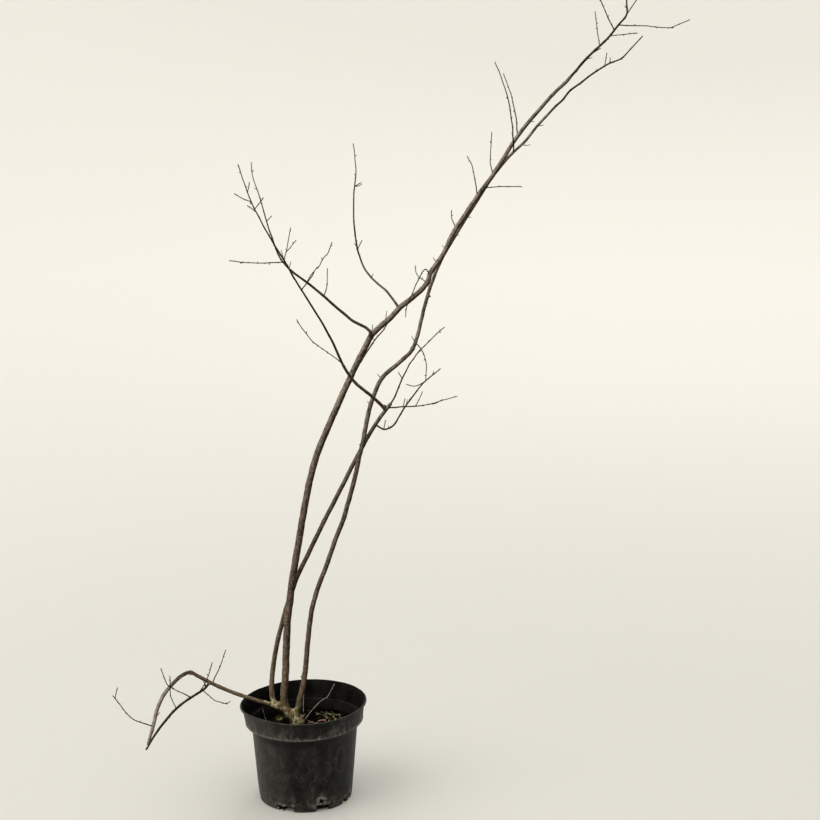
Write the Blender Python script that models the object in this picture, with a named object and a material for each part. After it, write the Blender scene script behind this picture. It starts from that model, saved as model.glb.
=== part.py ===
"""A winterberry shrub in its nursery pot, bare in winter, built as one closed solid per sub-part.

Units are metres with +Z up. The origin is the centre of the pot's flat underside, X runs to the
right and Y away from the viewer. The tables of limbs and twigs are in centimetres.

Four stems rise from one root crown that is cut flat where it meets the soil. Boughs leave the
stems, and each bough's tip, and several places along the stems, carry a mass of bare twigs: one
stem with shoots of a stated reach, and short spurs that branch from both by a seeded rule.
"""

import math
import random

import bpy
import numpy as np

CM = 0.01                      # one centimetre of the tables, in metres
GAP = 0.03                     # space between neighbouring solids

# Pot, as outside radii and heights
POT_HEIGHT = 17.7
POT_LIP_RADIUS = 11.6          # rolled lip
POT_LIP_HEIGHT = 0.45
POT_LIP_WIDTH = 0.35           # how far the lip stands out of the band
POT_BAND_RADIUS = 10.75        # lower edge of the band
POT_BAND_Z = 13.8
POT_NECK_RADIUS = 9.7          # where the chamfer under the band meets the wall
POT_NECK_Z = 12.2
POT_BASE_RADIUS = 8.6
POT_CORNER = 0.2               # rounding between wall and underside
POT_WALL = 0.17
POT_FLOOR = 0.3
POT_SEGMENTS = 48
RIM_TILT_X = 0.034             # the rim hangs lower on the left
RIM_TILT_Y = 0.014             # and a little lower in front
RIM_SHIFT = -0.25              # and it stands off centre, to the left
LEAN_START = 4.0               # nothing leans nearer to the pot's axis than this
LEAN_FULL = 8.0                # and all of it leans beyond this

# Drain notches, cut through the corner between wall and floor
NOTCH_BEARINGS = (-106.0, -61.0, -24.0, 20.0, 65.0, 110.0, 155.0, -151.0)
NOTCH_WIDTH = 3.1
NOTCH_HEIGHT = 1.2
NOTCH_TAB_WIDTH = 1.1          # narrower slot that rises above one end of each notch
NOTCH_TAB_HEIGHT = 2.2
NOTCH_DEPTH = 2.2              # how far a notch reaches in from the wall
NOTCH_OVERSHOOT = 0.6          # how far its cutter stands out of the wall and the underside

# Soil
SOIL_TOP = 13.3
SOIL_EDGE_DROP = 0.4           # the surface dips towards the wall
SOIL_LEVEL_RADIUS = 4.0        # level round the root crown

# Root crown
CROWN_CUT_DEPTH = 3.6          # all that lies this far under the soil's surface is cut off
CROWN_FLARE = 0.75             # extra radius of the main foot at the soil
CROWN_FLARE_LENGTH = 1.6
ROOT_CENTRE = (-1.75, 0.0)
ROOT_BEARINGS = (-150.0, -75.0, 15.0, 120.0)
ROOT_SPREAD = 2.3              # how far the root ridges reach from the crown's middle
ROOT_RISE = 0.72               # height of a ridge's start over the soil, and depth of its end
ROOT_SAG = 0.1
ROOT_RADII = (0.62, 0.5, 0.3)

# Spacing of the rings along a limb or a twig, and the sides of their cross-sections
STEM_STEP = 3.4
BOUGH_STEP = 2.6
TWIG_STEP = 2.4
STEM_SIDES = 8
BOUGH_SIDES = 6
MASS_STEM_SIDES = 4
SHOOT_SIDES = 3

# The seeded rule for spurs
SPUR_SPACING = (2.6, 4.2)      # shortest and longest stretch between two spurs
SPUR_LENGTH = (0.45, 0.95)
SPUR_TURN = 144.0              # degrees round the twig from one spur to the next
SPUR_LEAN = 55.0               # degrees between a spur and its twig
SPUR_RADIUS = (0.075, 0.05)
SPUR_ROOM = 1.2                # how far a spur may stand out of the mass's own box
TWIG_TIP_RADIUS = 0.055

TIP_RUN = 0.4                  # a limb that goes on from another's tip starts straight for this long
SHARP_ANGLE = 40.0             # edges that turn by more degrees than this stay sharp

# Stems, from the soil up: way points (x, y, z) and radii spread evenly along the length.
# foot is the length that belongs to the root crown.
STEMS = {
    "stem_middle": {
        "foot": 5.8,
        "points": [(-1.7, 0.0, 12.1), (-2.0, 0.0, 14.0), (-3.0, 0.0, 15.5), (-3.5, 0.0, 17.0),
                   (-3.5, 0.0, 20.0), (-3.2, 0.0, 26.5), (-2.8, 0.0, 33.0), (-1.5, 0.1, 42.5),
                   (0.3, 0.3, 54.0), (2.6, 0.8, 63.5), (6.2, 1.4, 72.5), (10.2, 1.8, 80.9),
                   (12.8, 2.0, 85.4), (17.6, 2.4, 90.0), (22.5, 3.2, 93.7), (24.1, 3.8, 97.2),
                   (26.3, 4.3, 101.8), (29.8, 5.5, 107.1), (33.3, 6.7, 112.3), (39.8, 8.1, 121.3),
                   (47.6, 9.9, 130.3)],
        "radii": (0.78, 0.57, 0.53, 0.49, 0.48, 0.47, 0.44, 0.37, 0.34, 0.32, 0.28, 0.23),
    },
    "stem_right": {
        "foot": 3.8,
        "points": [(-1.5, -0.2, 13.0), (-1.35, -0.3, 15.0), (-1.4, -0.4, 17.0), (-0.1, -0.3, 22.2),
                   (0.9, -0.2, 29.0), (1.6, -0.1, 35.7), (4.3, 0.1, 44.5), (7.7, 0.3, 52.7),
                   (9.3, 0.5, 58.2), (11.0, 0.9, 65.5), (12.7, 1.9, 73.2), (14.5, 2.6, 77.6),
                   (20.1, 3.5, 82.3), (22.2, 4.4, 90.2), (23.6, 4.9, 94.5), (25.1, 5.2, 98.7),
                   (27.2, 5.5, 102.4), (30.6, 6.1, 106.9), (34.9, 6.9, 113.5), (37.9, 6.8, 117.0),
                   (44.6, 6.2, 124.3)],
        "radii": (0.55, 0.46, 0.42, 0.39, 0.40, 0.39, 0.36, 0.30, 0.26, 0.25, 0.22, 0.19),
    },
    "stem_left": {
        "foot": 4.2,
        "points": [(-2.9, 0.1, 15.2), (-4.2, 0.2, 16.2), (-5.5, 0.5, 17.1), (-6.05, 0.8, 18.4),
                   (-6.1, 0.9, 20.0), (-5.6, 1.0, 24.8), (-3.8, 1.3, 33.3), (-2.4, 1.5, 37.7),
                   (2.9, 1.7, 49.3), (9.5, 2.1, 61.9), (12.0, 2.1, 66.6), (14.0, 1.3, 70.4),
                   (16.0, 0.8, 72.9)],
        "radii": (0.52, 0.46, 0.39, 0.34, 0.32, 0.30, 0.27),
    },
    "low_stem_rise": {
        "foot": 3.4,
        "points": [(-3.6, 0.0, 15.8), (-5.0, -0.3, 16.7), (-6.7, -1.0, 17.7), (-8.7, -1.8, 18.7),
                   (-12.5, -3.0, 20.5), (-16.6, -4.2, 22.8), (-20.0, -5.4, 25.2)],
        "radii": (0.44, 0.37, 0.34, 0.32, 0.29),
    },
}

# Boughs: the stem or bough that each leaves, and whether it goes on from that limb's tip.
BOUGHS = {
    "low_stem_fall": {
        "on": "low_stem_rise", "tip": True,
        "points": [(-20.0, -5.4, 25.2), (-21.3, -5.8, 25.1), (-22.9, -6.4, 23.6),
                   (-24.5, -7.5, 21.2), (-25.5, -8.3, 19.1), (-26.2, -9.4, 16.9)],
        "radii": (0.29, 0.26, 0.21, 0.16),
    },
    "bough_left_back": {
        "on": "stem_middle", "tip": False,
        "points": [(12.7, 2.0, 85.5), (10.9, 3.8, 86.8), (8.5, 5.4, 87.9), (4.1, 7.2, 91.7),
                   (-2.1, 8.8, 96.1)],
        "radii": (0.25, 0.23, 0.2, 0.18),
    },
    "bough_left_front": {
        "on": "stem_left", "tip": False,
        "points": [(15.0, 0.8, 72.0), (12.8, -0.1, 74.6), (9.8, -1.0, 77.1), (7.7, -1.7, 80.5),
                   (2.3, -5.7, 91.9), (0.0, -7.1, 95.7)],
        "radii": (0.27, 0.25, 0.22, 0.19, 0.17),
    },
    "bough_upright": {
        "on": "stem_middle", "tip": False,
        "points": [(17.5, 2.4, 90.0), (16.6, 4.9, 91.5), (15.4, 6.6, 92.7), (13.6, 8.0, 93.8),
                   (11.2, 10.1, 96.3), (10.2, 11.1, 98.7)],
        "radii": (0.29, 0.26, 0.22, 0.18),
    },
}

# Masses of twigs. Each shoot is (parent, place, reach, sag, radius): parent 0 is the mass's own
# stem and n its nth shoot, place is the fraction along the parent, reach runs from there to the
# shoot's tip, and sag is how far its middle hangs below the straight line.
MASSES = {
    "twigs_top": {
        "on": "stem_middle", "tip": True, "seed": 1,
        "points": [(47.6, 9.9, 130.3), (52.1, 11.6, 134.6), (57.0, 13.1, 139.6),
                   (58.2, 13.8, 141.5), (58.5, 15.2, 148.9)],
        "radii": (0.22, 0.19, 0.15, 0.07),
        "shoots": [(0, 0.25, (1.8, 1.2, 1.1), 0.0, 0.08), (0, 0.37, (-0.3, 6.5, 6.3), 0.3, 0.09),
                   (0, 0.46, (5.4, 4.1, 0.8), 0.2, 0.08), (0, 0.52, (-5.5, -5.8, 9.0), 0.3, 0.11),
                   (0, 0.575, (11.7, -5.1, 0.1), 0.75, 0.11),
                   (0, 0.69, (3.4, -3.1, 6.3), 0.3, 0.1)],
    },
    "twigs_right": {
        "on": "stem_right", "tip": True, "seed": 2,
        "points": [(44.6, 6.2, 124.3), (47.6, 5.5, 127.6), (53.4, 4.5, 131.7), (56.2, 4.0, 133.2),
                   (59.6, 3.3, 136.8)],
        "radii": (0.18, 0.15, 0.12, 0.07),
        "shoots": [(0, 0.59, (0.5, 1.4, 2.2), 0.0, 0.08)],
    },
    "twigs_left_back": {
        "on": "bough_left_back", "tip": True, "seed": 3,
        "points": [(-2.1, 8.8, 96.1), (-4.2, 9.8, 98.5), (-6.1, 11.3, 103.2), (-7.8, 13.0, 108.5),
                   (-9.4, 14.5, 113.5), (-9.6, 14.9, 115.2)],
        "radii": (0.17, 0.14, 0.1, 0.06),
        "shoots": [(0, 0.09, (0.9, 4.6, 5.9), 0.1, 0.09), (1, 0.3, (2.0, -2.3, 2.2), 0.1, 0.07),
                   (0, 0.48, (1.0, -1.1, 0.9), 0.0, 0.07)],
    },
    "twigs_left_front": {
        "on": "bough_left_front", "tip": True, "seed": 4,
        "points": [(0.0, -7.1, 95.7), (-2.2, -9.0, 100.1), (-4.6, -11.2, 104.6),
                   (-7.1, -14.3, 110.8), (-8.2, -16.3, 115.0)],
        "radii": (0.16, 0.13, 0.1, 0.06),
        "shoots": [(0, 0.16, (-7.9, -10.9, 1.3), 0.5, 0.09), (0, 0.61, (-1.6, 1.5, 1.0), 0.0, 0.07),
                   (0, 0.64, (1.6, -2.0, 1.8), 0.1, 0.07), (0, 0.7, (-2.5, -1.7, 1.3), 0.1, 0.07),
                   (0, 0.78, (0.2, 1.2, 1.5), 0.0, 0.07)],
    },
    "twigs_upright": {
        "on": "bough_upright", "tip": True, "seed": 5,
        "points": [(10.2, 11.1, 98.7), (9.3, 12.9, 103.3), (9.1, 15.3, 109.6), (9.5, 16.7, 113.6),
                   (8.9, 18.4, 118.6)],
        "radii": (0.17, 0.14, 0.11, 0.06),
        "shoots": [(0, 0.05, (0.8, -0.6, 1.6), 0.0, 0.08), (0, 0.62, (1.1, 0.6, 0.6), 0.0, 0.07)],
    },
    "twigs_whip_front": {
        "on": "stem_right", "tip": False, "seed": 6,
        "points": [(37.9, 6.8, 117.0), (37.4, 4.2, 121.5), (36.5, 2.2, 125.8), (35.4, 0.4, 129.5),
                   (34.3, -0.9, 132.1)],
        "radii": (0.13, 0.11, 0.09, 0.06),
        "shoots": [],
    },
    "twigs_whip_back": {
        "on": "stem_middle", "tip": False, "seed": 7,
        "points": [(38.5, 7.9, 119.6), (38.7, 10.4, 121.4), (38.4, 13.6, 125.1),
                   (36.8, 17.9, 131.2)],
        "radii": (0.12, 0.1, 0.08, 0.06),
        "shoots": [],
    },
    "twigs_whip_middle": {
        "on": "stem_middle", "tip": False, "seed": 8,
        "points": [(33.9, 6.9, 113.2), (33.8, 9.3, 115.4), (34.2, 12.8, 120.6)],
        "radii": (0.1, 0.08, 0.06),
        "shoots": [],
    },
    "twigs_hooked": {
        "on": "stem_middle", "tip": False, "seed": 9,
        "points": [(31.3, 6.1, 109.5), (31.0, 5.1, 111.8), (30.4, 3.5, 114.7), (29.5, 1.9, 116.3)],
        "radii": (0.1, 0.09, 0.06),
        "shoots": [],
    },
    "twigs_level": {
        "on": "stem_right", "tip": False, "seed": 10,
        "points": [(33.1, 6.6, 110.8), (34.6, 4.8, 110.9), (38.8, 0.1, 111.2)],
        "radii": (0.1, 0.08, 0.06),
        "shoots": [],
    },
    "twigs_short": {
        "on": "stem_middle", "tip": False, "seed": 11,
        "points": [(27.4, 4.9, 103.8), (27.0, 6.3, 105.2), (26.9, 8.3, 106.8)],
        "radii": (0.1, 0.08, 0.06),
        "shoots": [],
    },
    "twigs_drooping": {
        "on": "stem_middle", "tip": False, "seed": 12,
        "points": [(23.1, 3.5, 95.6), (22.5, 2.6, 96.6), (21.7, 2.1, 96.1), (19.9, 1.6, 92.6),
                   (18.7, 1.2, 88.5)],
        "radii": (0.11, 0.09, 0.06),
        "shoots": [],
    },
    "twigs_behind": {
        "on": "stem_right", "tip": False, "seed": 13,
        "points": [(23.2, 4.7, 93.2), (22.1, 6.9, 94.3), (20.5, 10.0, 95.6), (20.4, 11.0, 96.7)],
        "radii": (0.1, 0.08, 0.06),
        "shoots": [],
    },
    "twigs_climbing": {
        "on": "stem_middle", "tip": False, "seed": 14,
        "points": [(9.8, 1.8, 79.4), (11.1, 1.0, 80.6), (12.4, 0.7, 83.2), (13.9, 0.5, 85.0),
                   (16.0, 0.3, 87.8)],
        "radii": (0.1, 0.08, 0.06),
        "shoots": [],
    },
    "twigs_inner_front": {
        "on": "bough_left_front", "tip": False, "seed": 15,
        "points": [(1.2, -6.2, 93.6), (2.3, -7.9, 95.3), (3.3, -9.1, 97.4), (5.3, -11.2, 99.5),
                   (6.6, -13.3, 102.2)],
        "radii": (0.1, 0.08, 0.06),
        "shoots": [(0, 0.3, (2.7, 0.9, 3.0), 0.2, 0.07)],
    },
    "twigs_inner_back": {
        "on": "bough_left_back", "tip": False, "seed": 16,
        "points": [(4.1, 7.2, 91.7), (4.3, 9.6, 93.1), (4.3, 12.4, 96.1)],
        "radii": (0.1, 0.08, 0.06),
        "shoots": [],
    },
    "twigs_inner_left": {
        "on": "bough_left_front", "tip": False, "seed": 17,
        "points": [(7.7, -1.7, 80.6), (5.3, -4.1, 82.7), (2.8, -7.2, 85.2), (0.5, -10.1, 89.1)],
        "radii": (0.11, 0.09, 0.06),
        "shoots": [],
    },
    "twigs_fork_up": {
        "on": "stem_left", "tip": True, "seed": 18,
        "points": [(16.0, 0.8, 72.9), (18.1, -1.3, 77.7), (20.2, -4.5, 81.9), (23.2, -7.4, 85.2),
                   (25.2, -9.8, 88.0)],
        "radii": (0.17, 0.13, 0.1, 0.07),
        "shoots": [(0, 0.28, (-0.6, -0.6, 1.1), 0.0, 0.07)],
    },
    "twigs_fork_right": {
        "on": "stem_left", "tip": False, "seed": 19,
        "points": [(15.5, 0.9, 72.2), (17.4, 2.1, 72.2), (21.8, 5.0, 72.0), (28.0, 8.9, 73.0)],
        "radii": (0.14, 0.11, 0.09, 0.06),
        "shoots": [(0, 0.22, (0.3, 0.3, 1.3), 0.0, 0.07), (0, 0.4, (1.2, 1.5, 2.3), 0.1, 0.07),
                   (0, 0.58, (2.5, 2.4, 0.4), 0.3, 0.07)],
    },
    "twigs_rising": {
        "on": "stem_left", "tip": False, "seed": 20,
        "points": [(13.3, 1.2, 69.0), (14.9, -0.3, 68.5), (16.2, -1.4, 69.2), (17.9, -3.0, 71.9),
                   (20.1, -4.9, 75.3), (22.0, -6.6, 78.0), (24.7, -8.1, 80.5)],
        "radii": (0.14, 0.12, 0.1, 0.06),
        "shoots": [(0, 0.12, (0.3, 0.4, 1.5), 0.0, 0.07), (0, 0.8, (-2.9, -1.0, 0.1), 0.35, 0.08)],
    },
    "twigs_arc": {
        "on": "stem_right", "tip": False, "seed": 21,
        "points": [(20.6, 3.7, 83.6), (21.6, 3.7, 82.9), (22.7, 4.7, 79.9), (22.4, 6.1, 76.2)],
        "radii": (0.1, 0.08, 0.06),
        "shoots": [],
    },
    "twigs_low_tip": {
        "on": "low_stem_fall", "tip": True, "seed": 22,
        "points": [(-26.2, -9.4, 16.9), (-26.6, -9.7, 15.2), (-27.0, -10.0, 13.4)],
        "radii": (0.15, 0.12, 0.08),
        "shoots": [(0, 0.1, (-6.0, -4.2, 7.2), 1.5, 0.11), (1, 0.94, (0.4, 0.2, 1.8), 0.0, 0.07)],
    },
    "twigs_low_front": {
        "on": "low_stem_rise", "tip": False, "seed": 23,
        "points": [(-16.6, -4.2, 22.8), (-17.3, -5.2, 22.2), (-20.0, -7.5, 21.0),
                   (-22.4, -10.4, 19.4), (-24.4, -13.3, 17.4), (-26.1, -16.1, 15.0)],
        "radii": (0.18, 0.16, 0.14, 0.11, 0.07),
        "shoots": [(0, 0.12, (5.1, -5.5, -0.5), 0.9, 0.09), (0, 0.17, (3.3, -5.2, 7.4), -0.3, 0.1),
                   (0, 0.27, (-4.3, -4.7, 7.1), 1.6, 0.1), (0, 0.47, (-0.4, -0.7, 6.4), -0.4, 0.09),
                   (0, 0.07, (-0.4, -0.8, 1.8), 0.0, 0.07)],
    },
    "twigs_low_back": {
        "on": "low_stem_rise", "tip": False, "seed": 24,
        "points": [(-16.2, -4.0, 22.5), (-15.8, -2.1, 23.3), (-15.2, -0.4, 24.5),
                   (-14.4, 1.6, 26.8)],
        "radii": (0.11, 0.09, 0.06),
        "shoots": [],
    },
}

COLOURS = {
    "pot": ((0.035, 0.036, 0.037), 0.55),
    "soil": ((0.012, 0.009, 0.007), 0.95),
    "crown": ((0.16, 0.11, 0.055), 0.85),
    "stem": ((0.10, 0.072, 0.045), 0.7),
    "bough": ((0.085, 0.062, 0.042), 0.7),
    "twig": ((0.06, 0.048, 0.037), 0.7),
}


def clear_scene():
    for thing in list(bpy.data.objects):
        bpy.data.objects.remove(thing, do_unlink=True)


def material(name):
    """A plain Principled surface of its own for one solid."""
    kind = next(word for word in COLOURS if word in name)
    colour, roughness = COLOURS[kind]
    made = bpy.data.materials.new(name)
    made.use_nodes = True
    shader = made.node_tree.nodes["Principled BSDF"]
    shader.inputs["Base Color"].default_value = (*colour, 1.0)
    shader.inputs["Roughness"].default_value = roughness
    shader.inputs["Metallic"].default_value = 0.0
    return made


def add_object(name, vertices, faces, collection=None):
    """A mesh object from vertices in centimetres and faces that point out."""
    mesh = bpy.data.meshes.new(name)
    mesh.from_pydata([tuple(float(value) * CM for value in vertex) for vertex in vertices], [], faces)
    mesh.update()
    made = bpy.data.objects.new(name, mesh)
    (collection or bpy.context.scene.collection).objects.link(made)
    return made


def finish(made):
    """Gives a solid its material and smooth shading with sharp edges kept."""
    made.data.materials.clear()
    made.data.materials.append(material(made.name))
    made.data.shade_smooth()
    made.data.set_sharp_from_angle(angle=math.radians(SHARP_ANGLE))


def apply_boolean(target, operation, other=None, collection=None):
    """One Boolean modifier, applied; what it used is then removed."""
    modifier = target.modifiers.new(operation, "BOOLEAN")
    modifier.operation = operation
    modifier.solver = "EXACT"
    if collection:
        modifier.operand_type = "COLLECTION"
        modifier.collection = collection
    else:
        modifier.object = other
    graph = bpy.context.evaluated_depsgraph_get()
    result = bpy.data.meshes.new_from_object(target.evaluated_get(graph))
    target.modifiers.clear()
    target.data = result
    used = list(collection.objects) if collection else [other]
    for thing in used:
        bpy.data.objects.remove(thing, do_unlink=True)
    if collection:
        bpy.data.collections.remove(collection)


def unit(vector):
    return vector / np.linalg.norm(vector)


def smooth_path(points, step):
    """Points about one step apart on a smooth curve through the way points."""
    points = np.array(points, float)
    spans = np.linalg.norm(np.diff(points, axis=0), axis=1)
    slopes = np.diff(points, axis=0) / spans[:, None]
    tangents = [slopes[0]]
    for number in range(1, len(spans)):
        before, after = spans[number - 1], spans[number]
        tangents.append((slopes[number - 1] * after + slopes[number] * before) / (before + after))
    tangents.append(slopes[-1])
    path = [points[0]]
    for number, span in enumerate(spans):
        start, end = points[number], points[number + 1]
        count = max(1, round(span / step))
        for place in np.linspace(0.0, 1.0, count + 1)[1:]:
            square, cube = place ** 2, place ** 3
            path.append(start * (2 * cube - 3 * square + 1) + end * (3 * square - 2 * cube)
                        + tangents[number] * span * (cube - 2 * square + place)
                        + tangents[number + 1] * span * (cube - square))
    return np.array(path)


def lengths_along(path):
    """Length from the path's start to each of its points."""
    return np.concatenate([[0.0], np.cumsum(np.linalg.norm(np.diff(path, axis=0), axis=1))])


def point_at(path, length):
    """The point at a length along a path."""
    along = lengths_along(path)
    return np.array([np.interp(length, along, path[:, axis]) for axis in range(3)])


def radii_along(path, radii):
    """A radius for each point, from radii spread evenly along the length."""
    along = lengths_along(path)
    return np.interp(along / along[-1], np.linspace(0.0, 1.0, len(radii)), radii)


def nearest(path, point):
    """The length along a path at which it comes nearest to a point."""
    point = np.array(point, float)
    along = lengths_along(path)
    best = (float("inf"), 0.0)
    for number in range(len(path) - 1):
        start, step = path[number], path[number + 1] - path[number]
        share = np.clip(np.dot(point - start, step) / np.dot(step, step), 0.0, 1.0)
        distance = np.linalg.norm(start + share * step - point)
        best = min(best, (distance, along[number] + share * np.linalg.norm(step)))
    return best[1]


def part_of(path, radii, low, high):
    """The stretch of a path between two lengths, with its radii."""
    along = lengths_along(path)
    inner = (along > low + GAP) & (along < high - GAP)
    places = np.concatenate([[low], along[inner], [high]])
    stretch = np.array([point_at(path, place) for place in places])
    return stretch, np.interp(places, along, radii)


def frames_along(path):
    """Two directions square to the path at each point, carried along without twist."""
    steps = np.diff(path, axis=0)
    tangents = [steps[0]] + [unit(a) + unit(b) for a, b in zip(steps, steps[1:])] + [steps[-1]]
    side = np.array([0.0, -1.0, 0.0]) if abs(unit(steps[0])[1]) < 0.9 else np.array([1.0, 0.0, 0.0])
    frames = []
    for tangent in tangents:
        tangent = unit(tangent)
        side = unit(side - tangent * np.dot(side, tangent))
        frames.append((tangent, side, np.cross(tangent, side)))
    return frames


def tube(path, radii, sides):
    """Vertices and outward faces of a closed tapering limb."""
    vertices = []
    for point, radius, (_, side, other) in zip(path, radii, frames_along(path)):
        for number in range(sides):
            angle = 2 * math.pi * number / sides
            vertices.append(point + radius * (math.cos(angle) * side + math.sin(angle) * other))
    faces = [list(range(sides))[::-1]]
    for ring in range(len(path) - 1):
        for number in range(sides):
            low, high = ring * sides + number, ring * sides + (number + 1) % sides
            faces.append([low, high, high + sides, low + sides])
    last = (len(path) - 1) * sides
    faces.append(list(range(last, last + sides)))
    return vertices, faces


def turned(profile, segments):
    """A closed solid turned about Z, from (radius, height) pairs that start and end on the axis."""
    vertices, rings = [], []
    for radius, height in profile:
        if radius == 0.0:
            rings.append([len(vertices)] * segments)
            vertices.append((0.0, 0.0, height))
            continue
        rings.append(list(range(len(vertices), len(vertices) + segments)))
        for number in range(segments):
            angle = 2 * math.pi * number / segments
            vertices.append((radius * math.cos(angle), radius * math.sin(angle), height))
    faces = []
    for lower, upper in zip(rings, rings[1:]):
        for number in range(segments):
            after = (number + 1) % segments
            corners = [lower[number], lower[after], upper[after], upper[number]]
            faces.append(list(dict.fromkeys(corners)))
    return vertices, faces


def lean_rim(vertices):
    """Leans the pot's upper part: heights grow to the right and the back, and the band shifts."""
    moved = []
    for x, y, z in vertices:
        outward = float(np.interp(math.hypot(x, y), (LEAN_START, LEAN_FULL), (0.0, 1.0)))
        rise = (RIM_TILT_X * x + RIM_TILT_Y * y) * max(z, 0.0) / POT_HEIGHT
        shift = RIM_SHIFT * max(z - POT_NECK_Z, 0.0) / (POT_HEIGHT - POT_NECK_Z)
        moved.append((x + shift * outward, y, z + rise * outward))
    return moved


def wall_radius(height):
    """Outside of the pot under its lip: wall, chamfer and band."""
    heights = (0.0, POT_NECK_Z, POT_BAND_Z, POT_HEIGHT)
    return float(np.interp(height, heights, (POT_BASE_RADIUS, POT_NECK_RADIUS, POT_BAND_RADIUS,
                                             POT_LIP_RADIUS - POT_LIP_WIDTH)))


def compass(bearing):
    """The level direction at a bearing, in degrees from +X towards +Y."""
    return np.array([math.cos(math.radians(bearing)), math.sin(math.radians(bearing)), 0.0])


def notch_cutter():
    """All drain notches as one cutter: a wide low opening with a narrow slot over its one end."""
    vertices, faces = [], []
    reach_out = POT_BASE_RADIUS + NOTCH_OVERSHOOT
    reach_in = POT_BASE_RADIUS - NOTCH_DEPTH
    below = -NOTCH_OVERSHOOT
    left, right = -NOTCH_WIDTH / 2, NOTCH_WIDTH / 2
    tab = left + NOTCH_TAB_WIDTH
    outline = [(left, below), (right, below), (right, NOTCH_HEIGHT), (tab, NOTCH_HEIGHT),
               (tab, NOTCH_TAB_HEIGHT), (left, NOTCH_TAB_HEIGHT)]
    count = len(outline)
    for bearing in NOTCH_BEARINGS:
        out = compass(bearing)
        across = np.array([-out[1], out[0], 0.0])
        first = len(vertices)
        for reach in (reach_in, reach_out):
            for offset, height in outline:
                vertices.append(out * reach + across * offset + np.array([0.0, 0.0, height]))
        faces.append([first + number for number in reversed(range(count))])
        faces.append([first + count + number for number in range(count)])
        for number in range(count):
            after = (number + 1) % count
            faces.append([first + number, first + after, first + count + after, first + count + number])
    return add_object("notch_cutter", vertices, faces)


def build_pot():
    """The shell: flat underside, rounded corner, wall, chamfer, band and rolled lip."""
    corner = [(POT_BASE_RADIUS - POT_CORNER * (1 - math.sin(angle)), POT_CORNER * (1 - math.cos(angle)))
              for angle in (0.0, math.pi / 4, math.pi / 2)]
    lip_z = POT_HEIGHT - POT_LIP_HEIGHT
    outside = [(0.0, 0.0)] + corner + [
        (POT_NECK_RADIUS, POT_NECK_Z),
        (POT_BAND_RADIUS, POT_BAND_Z),
        (wall_radius(lip_z), lip_z),
        (POT_LIP_RADIUS, lip_z + POT_LIP_HEIGHT / 4),
        (POT_LIP_RADIUS, POT_HEIGHT - POT_LIP_HEIGHT / 4),
        (POT_LIP_RADIUS - POT_LIP_WIDTH / 3, POT_HEIGHT)]
    inside = [
        (POT_LIP_RADIUS - POT_LIP_WIDTH, POT_HEIGHT),
        (wall_radius(lip_z) - POT_WALL, lip_z),
        (POT_BAND_RADIUS - POT_WALL, POT_BAND_Z + POT_WALL),
        (POT_NECK_RADIUS - POT_WALL, POT_NECK_Z + POT_WALL),
        (wall_radius(POT_FLOOR) - POT_WALL, POT_FLOOR),
        (0.0, POT_FLOOR)]
    vertices, faces = turned(outside + inside, POT_SEGMENTS)
    pot = add_object("pot", lean_rim(vertices), faces)
    apply_boolean(pot, "DIFFERENCE", notch_cutter())
    finish(pot)


def build_soil():
    """The soil that fills the pot, level round the crown and a little lower at the wall."""
    bottom = POT_FLOOR + GAP
    neck = POT_NECK_Z + POT_WALL
    edge = SOIL_TOP - SOIL_EDGE_DROP
    room = POT_WALL + 2 * GAP
    profile = [(0.0, bottom), (wall_radius(bottom) - room, bottom), (POT_NECK_RADIUS - room, neck),
               (wall_radius(edge - POT_WALL) - room, edge), (SOIL_LEVEL_RADIUS, SOIL_TOP), (0.0, SOIL_TOP)]
    vertices, faces = turned(profile, POT_SEGMENTS)
    finish(add_object("soil", lean_rim(vertices), faces))


def grow_limbs():
    """The full path and radii of every stem and bough."""
    limbs = {}
    for name, stem in STEMS.items():
        path = smooth_path(stem["points"], STEM_STEP)
        limbs[name] = (path, radii_along(path, stem["radii"]))
    for name, bough in BOUGHS.items():
        path = rooted_path(bough, limbs[bough["on"]][0], BOUGH_STEP)
        limbs[name] = (path, radii_along(path, bough["radii"]))
    return limbs


def rooted_path(limb, parent, step):
    """A path that starts on its parent's axis, or just past its parent's tip."""
    points = [np.array(point, float) for point in limb["points"]]
    if limb["tip"]:
        heading = unit(parent[-1] - parent[-2])
        points[:1] = [parent[-1] + GAP * heading, parent[-1] + (GAP + TIP_RUN) * heading]
    else:
        points[0] = point_at(parent, nearest(parent, points[0]))
    return smooth_path(points, step)


def cut_clear(solid, parent, sides):
    """Cuts a limb or a mass so that it starts one gap clear of its parent's surface."""
    path, radii = parent
    sleeve = add_object("sleeve", *tube(path, radii + GAP / math.cos(math.pi / sides), sides))
    apply_boolean(solid, "DIFFERENCE", sleeve)


def build_stems(limbs):
    """Each stem from the top of its foot to its tip, and each bough, cut clear of its parent."""
    for name, stem in STEMS.items():
        path, radii = limbs[name]
        upper = part_of(path, radii, stem["foot"] + GAP, lengths_along(path)[-1])
        finish(add_object(name, *tube(*upper, STEM_SIDES)))
    for name, bough in BOUGHS.items():
        sides = STEM_SIDES if bough["tip"] else BOUGH_SIDES
        solid = add_object(name, *tube(*limbs[name], sides))
        if not bough["tip"]:
            cut_clear(solid, limbs[bough["on"]], STEM_SIDES)
        finish(solid)


def root_ridge(bearing):
    """One ridge that runs from the crown's middle down into the soil."""
    top = np.array([*ROOT_CENTRE, SOIL_TOP + ROOT_RISE])
    end = np.array([*ROOT_CENTRE, SOIL_TOP - ROOT_RISE]) + compass(bearing) * ROOT_SPREAD
    middle = (top + end) / 2 - np.array([0.0, 0.0, ROOT_SAG])
    return tube(np.array([top, middle, end]), ROOT_RADII, BOUGH_SIDES)


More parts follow.
